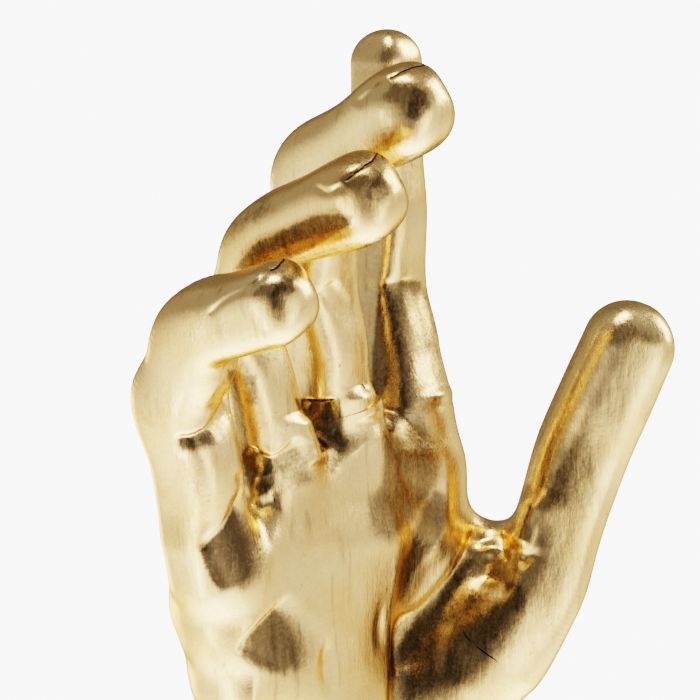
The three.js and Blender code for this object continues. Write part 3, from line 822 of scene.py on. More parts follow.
class Casting:
    """One casting's skin: the part of a blended form where a label is negative."""

    JOINT_STRIDE = 0.8

    def __init__(self, form: Field, label: Field, low: Sequence[float], high: Sequence[float],
                 cell: float, splits: int) -> None:
        """Makes the skin, cuts it at the label and splits it finer.

        Args:
            form: The blended form's distance.
            label: Negative on this casting's side of its joints.
            low: The grid's lowest corner.
            high: The grid's highest corner.
            cell: The grid's pitch.
            splits: How many times each face is split in four.
        """
        self.form, self.label = form, label
        skin = surface_net(form, low, high, cell)
        skin.points = settle(form, skin.points)
        self.skin = self.cut(skin).largest()
        self.rest(2)
        for _ in range(splits):
            self.skin = self.skin.refined()
            self.rest(1)

    def cut(self, skin: Skin) -> Skin:
        """Moves the points beside the label's zero onto it and keeps the negative side.

        Args:
            skin: The whole form's skin.

        Returns:
            The kept side, with triangles where a quad had one corner on it.
        """
        value = self.label(skin.points)
        edges = skin.edges()
        crossing = edges[value[edges[:, 0]] * value[edges[:, 1]] < 0]
        nearer = np.abs(value[crossing[:, 0]]) < np.abs(value[crossing[:, 1]])
        moved = np.unique(np.where(nearer, crossing[:, 0], crossing[:, 1]))
        points = skin.points.copy()
        points[moved] = self.on_joint(points[moved], 4)
        value[moved] = 0
        corner = value[skin.quads]
        middle = self.label(points[skin.quads].mean(1))
        mixed = (corner.min(1) < 0) & (corner.max(1) > 0)
        kept = ~mixed & ((corner.min(1) < 0) | ((corner.max(1) <= 0) & (middle < 0)))
        split = skin.quads[mixed]
        turn = corner[mixed].argmin(1)
        triangles = np.stack([split[np.arange(len(split)), (turn + k) % 4] for k in (3, 0, 1)], 1)
        return Skin(points, skin.quads[kept], triangles.reshape(-1, 3))

    def on_joint(self, points: Array, turns: int) -> Array:
        """Draws points onto both the form's and the label's zero.

        Args:
            points: Rows of points near both.
            turns: How many times they take a step towards each.

        Returns:
            The moved points.
        """
        for _ in range(turns):
            for field in (self.label, self.form):
                points = settle(field, points, 1, self.JOINT_STRIDE)
        return points

    def rest(self, turns: int) -> None:
        """Relaxes the skin, then settles it on the form again, its rim on the joint too.

        Args:
            turns: How many times.
        """
        for _ in range(turns):
            self.skin.points = settle(self.form, self.skin.relaxed())
            rim = np.unique(self.skin.rim())
            self.skin.points[rim] = self.on_joint(self.skin.points[rim], 2)


def in_picture(points: Array) -> Array:
    """Where points appear from the modelling viewpoint, in perspective.

    Args:
        points: Rows of points.

    Returns:
        For each, millimetres to the right of and over the picture's middle.
    """
    offset = points - VIEW_TARGET
    near = VIEW_DISTANCE / (VIEW_DISTANCE - offset @ BACK_WAY)
    return np.stack([offset @ RIGHT_WAY * near, offset @ UP_WAY * near], 1)


def smooth_line(line: Array) -> Array:
    """A line rounded through its points, by Catmull-Rom pieces of six steps.

    Args:
        line: The points.

    Returns:
        The finer line.
    """
    ends = np.vstack([2 * line[0] - line[1], line, 2 * line[-1] - line[-2]])
    share = np.linspace(0, 1, 6, endpoint=False)[:, None]
    parts = []
    for a, b, c, d in zip(ends, ends[1:], ends[2:], ends[3:]):
        parts.append(0.5 * (2 * b + (c - a) * share + (2 * a - 5 * b + 4 * c - d) * share**2
                            + (3 * b - 3 * c + d - a) * share**3))
    return np.vstack([*parts, line[-1:]])


@dataclass(frozen=True)
class Crease:
    """A fold carved along a line that is laid out as seen from the modelling viewpoint.

    The line goes through points in picture millimetres. Left and right are the widths of
    its two banks, looking along it: a wide bank is a long slope down to the fold, and a
    negative depth is a ridge. Ends are the lengths over which it fades in and out. A
    jagged line swings by a sum of sine waves, each lower the finer it is.
    """

    BELL = 1.6
    WAVES = (2.3, 5.1, 11.0)
    PHASE = 1.7

    name: str
    pieces: tuple
    line: tuple
    depth: float
    left: float
    right: float
    ends: tuple = (2.0, 2.0)
    # How dark the line is painted: painted shade in the web creases, the dark of the nail cracks
    dark: float = 0.0
    jagged: float = 0.0

    def measure(self, spots: Array) -> tuple[Array, Array, Array]:
        """How spots lie to the line.

        Args:
            spots: Rows of picture places.

        Returns:
            For each, the distance from the line, whether it is left of it, and a fade
            towards the line's ends.
        """
        line = np.array(self.line, float)
        if len(line) > 2:
            line = smooth_line(line)
        apart = np.full(len(spots), FAR)
        left = np.zeros(len(spots), bool)
        along = np.zeros(len(spots))
        reach = 0.0
        for start, end in zip(line, line[1:]):
            way = end - start
            length = float(np.hypot(*way))
            offset = spots - start
            share = np.clip(offset @ way / length**2, 0, 1)
            rest = offset - share[:, None] * way
            here = np.hypot(rest[:, 0], rest[:, 1])
            nearer = here < apart
            apart = np.where(nearer, here, apart)
            left = np.where(nearer, way[0] * offset[:, 1] - way[1] * offset[:, 0] > 0, left)
            along = np.where(nearer, reach + share * length, along)
            reach += length
        fade = smooth_step(along, 0, self.ends[0]) * smooth_step(reach - along, 0, self.ends[1])
        if self.jagged:
            wave = sum(np.sin(along * pitch + self.PHASE * pitch) / pitch for pitch in self.WAVES)
            apart = np.abs(np.where(left, apart, -apart) + self.jagged * wave)
        return apart, left, fade

    def carve(self, spots: Array) -> tuple[Array, Array]:
        """The fold's shape: its depth falls off from the line like a bell, by its bank's width.

        Args:
            spots: Rows of picture places.

        Returns:
            How deep the fold is at each spot, and how dark.
        """
        apart, left, fade = self.measure(spots)
        bank = np.where(left, self.left, self.right)
        depth = self.depth * fade * np.exp(-((apart / bank) ** self.BELL))
        return depth, self.dark * fade * np.clip(1 - apart, 0, 1)


@dataclass(frozen=True)
class Patch:
    """A part of the skin, laid out as seen from the modelling viewpoint.

    Each corner of its outline is (x, y, softness) in picture millimetres: the width over
    which it fades out there. In PATCHES the shade is a share of painted shade and painted
    dark reflection laid into the gilding's colour; in HOLLOW it is how far the palm is buffed.
    """

    name: str
    pieces: tuple
    outline: tuple
    shade: float

    def cover(self, spots: Array) -> Array:
        """How far spots are covered: by their distance from the outline over its softness.

        Args:
            spots: Rows of picture places.

        Returns:
            A share for each, up to the shade.
        """
        outline = np.array(self.outline, float)
        apart, soft = np.full(len(spots), FAR), np.ones(len(spots))
        inside = np.zeros(len(spots), bool)
        for start, end in zip(outline, np.roll(outline, -1, axis=0)):
            way = end[:2] - start[:2]
            offset = spots - start[:2]
            share = np.clip(offset @ way / (way @ way), 0, 1)
            here = np.linalg.norm(offset - share[:, None] * way, axis=1)
            width = start[2] + share * (end[2] - start[2])
            nearer = here < apart
            apart, soft = np.where(nearer, here, apart), np.where(nearer, width, soft)
            spans = (start[1] > spots[:, 1]) != (end[1] > spots[:, 1])
            rise = way[1] if way[1] else 1e-9
            inside ^= spans & (offset[:, 0] < way[0] * offset[:, 1] / rise)
        return self.shade * smooth_step(np.where(inside, apart, -apart) / soft, -0.5, 0.5)


CREASES = (
    Crease("little_finger_fold", (LITTLE,), ((-35.6, -17.8), (-32, -17.6), (-29.2, -16.4), (-27.4, -14.8),
        (-25.2, -11), (-23.8, -7)), 0.9, 0.7, 2.4),
    Crease("little_root_fold", (LITTLE, PALM), ((-21.4, -24), (-22.4, -30), (-24.9, -35), (-28.6, -38.2),
        (-31, -40)), 0.8, 5.0, 0.9, (2, 5)),
    Crease("ring_root_fold", (RING, PALM), ((-20.8, -19.2), (-18.4, -20.9), (-15.4, -21.6), (-12.6, -19.8),
        (-11, -17)), 0.9, 0.6, 4.0),
    Crease("middle_root_fold", (MIDDLE, PALM), ((-9.8, -10), (-6.5, -10.6), (-2, -10.2)), 1.0, 0.5, 5.0),
    Crease("index_finger_fold", (INDEX,), ((5.2, 12.9), (9.4, 13.6), (14.6, 13.9)), 0.6, 0.8, 4.0, (4, 3)),
    Crease("middle_finger_fold", (MIDDLE,), ((-7, 10), (-4.8, 12), (-2, 14)), 0.6, 0.8, 5.0),
    Crease("heart_line", (PALM,), ((-22.4, -61), (-20.4, -57.8), (-14.6, -51.6), (-11.4, -48.4)), 1.1, 0.6,
        7.0, (2, 5)),
    Crease("life_line", (PALM, THUMB), ((25, -34.8), (23.4, -39.4), (20.9, -44.1), (17.8, -48.2),
        (13.4, -52.4), (8.8, -55), (8.6, -66)), 1.0, 4.5, 1.0, (3, 4)),
    Crease("web_fold", (PALM, THUMB), ((30.8, -35.8), (30.6, -40), (31.5, -42.6)), 0.7, 0.9, 0.9),
    Crease("web_pocket", (PALM, THUMB), ((24.5, -43.5), (29, -45.5), (33.5, -46)), 1.0, 3.0, 2.5, (3, 3)),
    Crease("thumb_fold", (PALM, THUMB), ((38.6, -32), (36.8, -39.6), (33.2, -43.4)), 0.5, 1.6, 1.2, (5, 2)),
    Crease("web_lobe", (PALM, THUMB), ((38.4, -27), (36, -34), (33.8, -40.6)), -1.6, 3.2, 3.2, (5, 3)),
    Crease("web_lobe_left", (PALM, THUMB), ((27.6, -37.4), (28, -42.4)), -1.3, 3.0, 2.8, (2.6, 2.6)),
    Crease("index_knuckle", (PALM, INDEX), ((15.8, -7.2), (17, -11.4)), -0.9, 3.8, 3.8, (2.8, 2.8)),
    Crease("middle_web", ALL, ((1, -7), (3.6, -15)), -1.6, 3.2, 3.2, (3, 3)),
    Crease("ring_web", ALL, ((-10.8, -12), (-9.2, -18), (-6.4, -24)), -1.9, 2.8, 3.0, (3, 3)),
    Crease("little_web", ALL, ((-21.4, -24.6), (-17, -31.6)), -1.6, 2.6, 2.6, (3, 3)),
    Crease("hollow_fill", (PALM,), ((7, -28), (7, -42), (6, -52), (4.6, -78)), -2.8, 3.2, 12.0, (12, 3)),
    Crease("index_root_fill", (PALM, INDEX), ((10, 3), (10, -20)), -2.6, 6.0, 5.0, (13, 8)),
    Crease("index_mound_fill", (PALM, INDEX), ((14.6, 6), (16, -6), (17.4, -20), (17.4, -34), (13, -46)),
        -2.4, 4.5, 10.0, (32, 10)),
    Crease("little_nail_fold", (LITTLE,), ((-28.8, 6.6), (-25.3, 10), (-20.6, 12.6), (-16.2, 15.5)), 0.35,
        0.5, 0.8),
    Crease("ring_nail_fold", (RING,), ((-7.6, 33.4), (-4.6, 31.6), (-1, 33.6)), 0.4, 0.6, 1.2),
    Crease("middle_nail_fold", (MIDDLE,), ((0.4, 48.8), (3.7, 51.7), (7.6, 54.3)), 0.5, 0.6, 1.4),
    Crease("little_web_line", (PALM, RING, LITTLE), ((-15.7, -28.2), (-14.2, -32.8)), 0.3, 0.4, 0.4,
        (0.6, 1.2), 0.95),
    Crease("middle_web_line", (PALM, MIDDLE, INDEX), ((2.2, -6.3), (3.4, -8.4)), 0.3, 0.4, 0.4, (0.6, 1.0),
        0.95),
    Crease("little_nail_crack", (LITTLE,), ((-16.2, 15.9), (-14.6, 16.8), (-12.2, 19.3)), 0.3, 0.4, 0.4,
        (0.3, 0.3), 1.0, 0.1),
    Crease("ring_nail_crack", (RING,), ((-1.2, 33.7), (2.4, 36.6), (4.6, 38.2), (6.5, 41)), 0.3, 0.4, 0.4,
        (0.3, 0.3), 1.0, 0.1),
    Crease("middle_nail_crack", (MIDDLE,), ((7.6, 54.3), (11.6, 56.4), (15.8, 57.4)), 0.3, 0.4, 0.4,
        (0.3, 0.3), 0.95, 0.1),
)
# Painted shade and painted dark reflections: dark patches in the creases, in the gaps between and under the
# fingers, and where the gilding mirrors the dark side of the light tent; ring_smear and ring_smear_high are
# two brown smears on the ring finger
PATCHES = (
    Patch("little_fold_shade", (LITTLE,), ((-34.6, -18.1, 0.4), (-31.9, -17.8, 0.3), (-27.3, -15.9, 0.4),
        (-26.4, -18.8, 2), (-29.7, -19.9, 1.6), (-33.8, -20.4, 1)), 0.9),
    Patch("little_front", (LITTLE,), ((-33.6, -22, 2.5), (-29.7, -22.4, 2.5), (-29.7, -28.9, 2.5),
        (-31.4, -28.9, 2.5)), 0.35),
    Patch("little_root", ALL, ((-22.8, -31.4, 1), (-19.7, -35, 5), (-17.6, -39.7, 6), (-18.2, -45, 5),
        (-21.6, -47.8, 3), (-26, -48.2, 1.2), (-27.7, -46.3, 0.7), (-29, -43.2, 0.5), (-30.1, -40.2, 0.5),
        (-27.9, -38.2, 0.4), (-24.9, -35.8, 0.4)), 1.0),
    Patch("ring_gap", ALL, ((-24.6, -4, 1), (-23, -4, 1), (-21.4, -12, 1), (-20.2, -19.5, 0.8),
        (-15.4, -27.6, 0.8), (-17, -29.6, 0.8), (-21, -25.6, 1), (-22.4, -20, 1), (-23.8, -10, 1)), 0.8),
    Patch("heel", (PALM,), ((-14.5, -51.7, 0.6), (-11.7, -53.6, 4), (-9.6, -58, 6), (-9, -60.6, 6),
        (-9.6, -63.6, 4), (-13.6, -64.7, 2.5), (-19.7, -63.4, 2), (-21.9, -61.4, 1), (-20.4, -58, 0.5)),
        0.85),
    Patch("index_mound", (PALM,), ((15.6, -27, 2), (17.4, -28.8, 1.5), (18.2, -32.6, 1.5), (17.4, -36, 2),
        (15.6, -40, 1.5), (14, -42, 1.5), (12.4, -45, 2), (10, -50, 1.2), (8.4, -49.6, 1.2),
        (8.4, -46, 1.5), (9.2, -42, 1.5), (10.8, -39, 1.5), (11.6, -35.4, 1.5), (13.4, -31, 2)), 0.8),
    Patch("thenar", (PALM, THUMB), ((21.8, -40.5, 1), (25, -42, 2.5), (22, -48, 3), (18, -56, 4),
        (17, -67, 3), (10, -72, 1), (7.6, -70, 0.8), (7.4, -57, 0.6), (9, -55.4, 0.5), (13.4, -52.2, 0.4),
        (17.7, -48, 0.4), (20.6, -44, 0.5)), 0.7),
    Patch("thenar_high", (PALM, THUMB), ((26.9, -46.1, 1), (29.8, -45.6, 0.8), (34.5, -46.8, 2.5),
        (36.2, -51, 3), (31.6, -58.6, 3.5), (25, -67, 3.5), (17, -67, 3), (21, -55.5, 3), (23.4, -49.4, 2)),
        0.7),
    Patch("thumb_band", (THUMB, PALM), ((40.8, -25.2, 1.5), (44.4, -19.2, 2), (47.5, -14, 3), (48, -24, 4),
        (44.4, -31, 3), (41.1, -34.4, 2), (39.1, -32.4, 1)), 0.5),
    Patch("index_column", ALL, ((5.2, -8.4, 0.6), (10, -7, 2), (11.5, -12.2, 2.5), (14, -15.8, 3),
        (15.6, -19.8, 3), (16, -24, 3), (15.8, -26.8, 3), (14, -30, 3), (11.6, -33, 2.5), (8.4, -35, 2.5),
        (5.4, -38, 3.5), (3.4, -37, 3.5), (3, -34, 3), (4.2, -28.8, 2), (5.8, -26.4, 1.2), (6.2, -21, 1),
        (5.8, -15, 0.8)), 0.75),
    Patch("index_front", (INDEX,), ((5.8, 13, 0.5), (9.4, 13.6, 0.4), (14.2, 13.8, 0.4), (14.6, 10, 3),
        (12.2, 6, 4.5), (12.2, -4, 4.5), (12, -14, 3), (5, -14, 1), (4.5, 0, 0.8)), 0.8),
    Patch("index_side", (INDEX,), ((12.4, 13.2, 0.8), (15.6, 12, 1.5), (17.2, 4, 2), (18, -6, 2.5),
        (15.6, -12, 3), (11, -13, 3), (12, 0, 3)), 0.42),
    Patch("ring_back", (RING,), ((-25, 21, 2), (-23.6, 25.6, 3), (-19, 30, 3), (-16.4, 30.8, 3),
        (-15.6, 27.6, 4), (-20, 25, 3), (-22.4, 21.6, 3)), 0.4),
    Patch("ring_smear", (RING,), ((-21.9, -5, 1.5), (-18.8, -5, 1.5), (-18.4, -11, 1), (-20.6, -11, 1)),
        0.55),
    Patch("ring_smear_high", (RING,), ((-19.7, -1, 1.5), (-16.2, -1, 1.5), (-16.6, -5.5, 1.5)), 0.4),
    Patch("ring_root", ALL, ((-21, -20.5, 0.4), (-18, -21.1, 0.3), (-15.6, -22, 0.4), (-15.1, -26.3, 0.8),
        (-15.8, -28, 0.4), (-18.4, -26.7, 0.5)), 0.7),
    Patch("ring_under", (RING,), ((-23.2, 16.1, 1), (-19.7, 20.9, 1), (-13.6, 23.9, 1), (-6.7, 27.2, 1),
        (0.7, 27, 1), (0.3, 25.2, 0.8), (-3.7, 22.6, 0.8), (-9.7, 19.1, 0.6), (-11.9, 18, 1),
        (-18, 15.6, 1)), 0.75),
    Patch("middle_under", (MIDDLE,), ((-9, 31, 1), (-2, 37, 1), (5, 41, 1), (9, 43.6, 1), (8, 40, 1),
        (2, 37, 1), (-5, 30.6, 1)), 0.5),
    Patch("ring_pad", ALL, ((-15.4, -22, 0.5), (-11, -19.4, 0.4), (-7.1, -26.3, 2), (-11.9, -27.6, 2.5)),
        0.5),
    Patch("middle_root", ALL, ((-11.2, -9.6, 0.4), (-2.8, -10.4, 0.6), (-1.2, -13.4, 2), (-0.2, -18.4, 2),
        (-1.8, -22.4, 1.5), (-3, -24.6, 1), (-3.6, -25, 0.6), (-4.6, -24, 0.6), (-5, -21.2, 0.5),
        (-7.2, -18.4, 0.5), (-9.4, -14.2, 0.5)), 0.85),
    Patch("little_tip", (LITTLE,), ((-13.6, 15.2, 1.2), (-11.5, 14.4, 1.2), (-10.8, 11.8, 1.4),
        (-13.6, 7.9, 1.6), (-15.8, 8.3, 1), (-16.2, 10.9, 1)), 0.75),
    Patch("ring_tip", (RING,), ((6.3, 36.1, 1), (8.1, 32.6, 2), (7.5, 30, 2), (5.9, 29.1, 1.4),
        (3.1, 30.4, 0.8), (3.3, 32.2, 1)), 0.75),
    Patch("middle_tip", (MIDDLE,), ((12.8, 53, 1), (15.4, 51.7, 1.5), (16.3, 48.2, 2), (13.7, 46, 1.4),
        (11.1, 46.5, 1), (12, 50, 1)), 0.7),
)

# The part of the palm that is buffed smooth
HOLLOW = Patch("hollow", (PALM,), ((-12, -31, 5), (-4, -25, 4), (6, -20, 4), (9, -30, 4), (9, -42, 4),
        (7, -50, 3), (5.6, -60, 3), (5, -88, 3), (-17, -88, 5), (-17, -58, 5), (-14, -46, 5)), 0.7)


def outline_ring(distance: Field, start: Array, inset: float, height: float) -> Array:
    """A ring of points at one height, drawn level onto the form's skin or inside it.

    Args:
        distance: The form's distance.
        start: The ring to start from.
        inset: How far inside the skin the ring lies.
        height: The ring's height.

    Returns:
        The ring's points.
    """
    ring = np.concatenate([start[:, :2], np.full((len(start), 1), height)], 1)
    for _ in range(4):
        slope = slope_of(distance, ring)
        slope[:, 2] = 0
        over = distance(ring) + inset
        step = over / np.maximum((slope**2).sum(1), LEAST_SLOPE)
        ring = ring - slope * np.clip(step, -2, 2)[:, None]
    return ring


@dataclass(frozen=True)
class Rim:
    """The palm casting's lower rim: (inset, height) of each ring, from the cut down and in."""

    outside: tuple = (
        (0, 5.9), (0, 4.8), (0, 3.8), (0, 2.9), (0, 2.2), (0.04, 1.7), (0.14, 1.3), (0.34, 1.0), (0.66, 0.84))
    inside: tuple = ((1.0, RIM_LIFT), (RIM_WALL, RIM_LIFT), (RIM_WALL + 0.05, 2.0), (RIM_WALL + 0.05, LEDGE))

    def build(self, distance: Field, edge: Array, names: Array, count: int) -> tuple[list, list, list, Array]:
        """Walls from the skin's cut edge, ring by ring.

        Args:
            distance: The form's distance.
            edge: The cut edge's points.
            names: Their numbers.
            count: The number of the first new point.

        Returns:
            The rings, the quads between them, the sharp edges and the last ring's numbers.
        """
        rings, walls, sharp = [], [], []
        for inset, height in (*self.outside, *self.inside):
            rings.append(outline_ring(distance, edge, inset, height))
            below = count + np.arange(len(edge))
            walls.append(np.stack([np.roll(names, -1), names, below, np.roll(below, -1)], 1))
            if (inset, height) in self.inside:
                sharp.append(np.stack([below, np.roll(below, -1)], 1))
            names, count = below, count + len(edge)
        return rings, walls, sharp, names


@dataclass
class Shell:
    """A finished closed mesh in millimetres, with facts at its points."""

    points: Array
    faces: list
    sharp: Array
    marks: dict

    def to_object(self, name: str, material: bpy.types.Material) -> bpy.types.Object:
        """Makes the Blender object, smooth but for its sharp edges.

        Args:
            name: The object's name.
            material: Its finish.

        Returns:
            The object, at the origin.
        """
        mesh = bpy.data.meshes.new(name)
        mesh.vertices.add(len(self.points))
        mesh.vertices.foreach_set("co", (self.points * MM).astype(np.float32).ravel())
        sizes = np.concatenate([np.full(len(faces), faces.shape[1]) for faces in self.faces])
        corners = np.concatenate([faces.ravel() for faces in self.faces])
        mesh.loops.add(len(corners))
        mesh.loops.foreach_set("vertex_index", corners.astype(np.int32))
        mesh.polygons.add(len(sizes))
        starts = np.concatenate([[0], np.cumsum(sizes)[:-1]])
        mesh.polygons.foreach_set("loop_start", starts.astype(np.int32))
        mesh.polygons.foreach_set("use_smooth", np.ones(len(sizes), bool))
        mesh.update(calc_edges=True)
        ends = np.empty(len(mesh.edges) * 2, np.int32)
        mesh.edges.foreach_get("vertices", ends)
        pairs, wanted = (np.sort(rows.astype(np.int64), axis=1) @ (len(self.points), 1)
                         for rows in (ends.reshape(-1, 2), self.sharp))
        layer = mesh.attributes.new("sharp_edge", "BOOLEAN", "EDGE")
        layer.data.foreach_set("value", np.isin(pairs, wanted))
        for mark, values in self.marks.items():
            layer = mesh.attributes.new(mark, "FLOAT", "POINT")
            layer.data.foreach_set("value", values.astype(np.float32))
        mesh.validate()
        mesh.materials.append(material)
        thing = bpy.data.objects.new(name, mesh)
        bpy.context.scene.collection.objects.link(thing)
        LOG.info("%s: %d points, %d faces", name, len(self.points), len(sizes))
        return thing


class NodeSheet:
    """Adds nodes to a tree and links them in one call."""

    def __init__(self, tree: bpy.types.NodeTree) -> None:
        """Starts on a tree.

        Args:
            tree: A material's, world's or group's nodes.
        """
        self.tree = tree

    def add(self, kind: str, inputs: dict | None = None, **settings: object) -> bpy.types.Node:
        """Adds a node, sets its options, and sets or links its inputs.

        Args:
            kind: The node's type.
            inputs: Values or output sockets by input name or number.
            settings: Options by their names.

        Returns:
            The node.
        """
        node = self.tree.nodes.new(kind)
        for name, value in settings.items():
            setattr(node, name, value)
        for name, value in (inputs or {}).items():
            socket = node.inputs[name]
            if isinstance(value, bpy.types.NodeSocket):
                self.tree.links.new(value, socket)
            else:
                socket.default_value = value
        return node

    def math(self, operation: str, a: object, b: object = 0.0, clamp: bool = False) -> bpy.types.NodeSocket:
        """The result of a sum on two values or sockets."""
        node = self.add("ShaderNodeMath", {0: a, 1: b}, operation=operation, use_clamp=clamp)
        return node.outputs[0]

    def total(self, *parts: tuple) -> bpy.types.NodeSocket:
        """A weighted sum.

        Args:
            parts: Pairs of a socket and its weight.

        Returns:
            The sum.
        """
        weighed = [self.math("MULTIPLY", socket, weight) for socket, weight in parts]
        result = weighed[0]
        for part in weighed[1:]:
            result = self.math("ADD", result, part)
        return result

    def ramp(self, value: object, low: object, high: object, start: float = 0.0,
             end: float = 1.0) -> bpy.types.NodeSocket:
        """A smooth rise from start at low to end at high."""
        node = self.add("ShaderNodeMapRange", {"Value": value, "From Min": low, "From Max": high,
                        "To Min": start, "To Max": end}, interpolation_type="SMOOTHSTEP")
        return node.outputs["Result"]

    def noise(self, place: object, scale: object, detail: float, roughness: float) -> bpy.types.NodeSocket:
        """A noise's factor, from 0 to 1."""
        inputs = {"Vector": place, "Scale": scale, "Detail": detail, "Roughness": roughness}
        return self.add("ShaderNodeTexNoise", inputs).outputs[0]

    def between(self, share: object, a: object, b: object) -> bpy.types.NodeSocket:
        """A value between two values."""
        return self.add("ShaderNodeMix", {0: share, 2: a, 3: b}, data_type="FLOAT").outputs[0]

    def mix(self, share: object, a: object, b: object) -> bpy.types.NodeSocket:
        """A colour between two colours."""
        return self.add("ShaderNodeMix", {0: share, 6: a, 7: b}, data_type="RGBA").outputs[2]

    def surface(self, inputs: dict, height: object, strength: float, distance: float) -> None:
        """Ends a material with a bump, the shader and the output.

        Args:
            inputs: The shader's values or sockets by input name.
            height: The bump's height.
            strength: How much the bump tells.
            distance: The bump's depth in metres.
        """
        bump = self.add("ShaderNodeBump", {"Height": height, "Strength": strength, "Distance": distance})
        shader = self.add("ShaderNodeBsdfPrincipled", inputs | {"Normal": bump.outputs["Normal"]})
        self.add("ShaderNodeOutputMaterial", {"Surface": shader.outputs[0]})


def new_material(name: str) -> tuple[bpy.types.Material, NodeSheet, bpy.types.NodeSocket]:
    """An empty material.

    Args:
        name: Its name.

    Returns:
        The material, a sheet for its nodes and its Object coordinates.
    """
    made = bpy.data.materials.new(name)
    made.use_nodes = True
    made.node_tree.nodes.clear()
    sheet = NodeSheet(made.node_tree)
    return made, sheet, sheet.add("ShaderNodeTexCoord").outputs["Object"]


def clouds_group() -> bpy.types.NodeTree:
    """The effect that all finishes share: soft clouds of one colour in another.

    The share rises smoothly from 0 where the noise is low to 1 where it is high, and the
    colour goes by that share from pale to deep.

    Returns:
        The node group.
    """
    group = bpy.data.node_groups.new("clouds", "ShaderNodeTree")
    sockets = {
        "INPUT": {"Place": "Vector", "Scale": "Float", "Low": "Float", "High": "Float", "Pale": "Color",
                  "Deep": "Color"},
        "OUTPUT": {"Colour": "Color", "Share": "Float", "Noise": "Float"}}
    for side, kinds in sockets.items():
        for name, kind in kinds.items():
            group.interface.new_socket(name=name, in_out=side, socket_type=f"NodeSocket{kind}")
    sheet = NodeSheet(group)
    given = sheet.add("NodeGroupInput").outputs
    noise = sheet.noise(given["Place"], given["Scale"], 4, 0.6)
    share = sheet.ramp(noise, given["Low"], given["High"])
    colour = sheet.mix(share, given["Pale"], given["Deep"])
    sheet.add("NodeGroupOutput", {"Colour": colour, "Share": share, "Noise": noise})
    return group


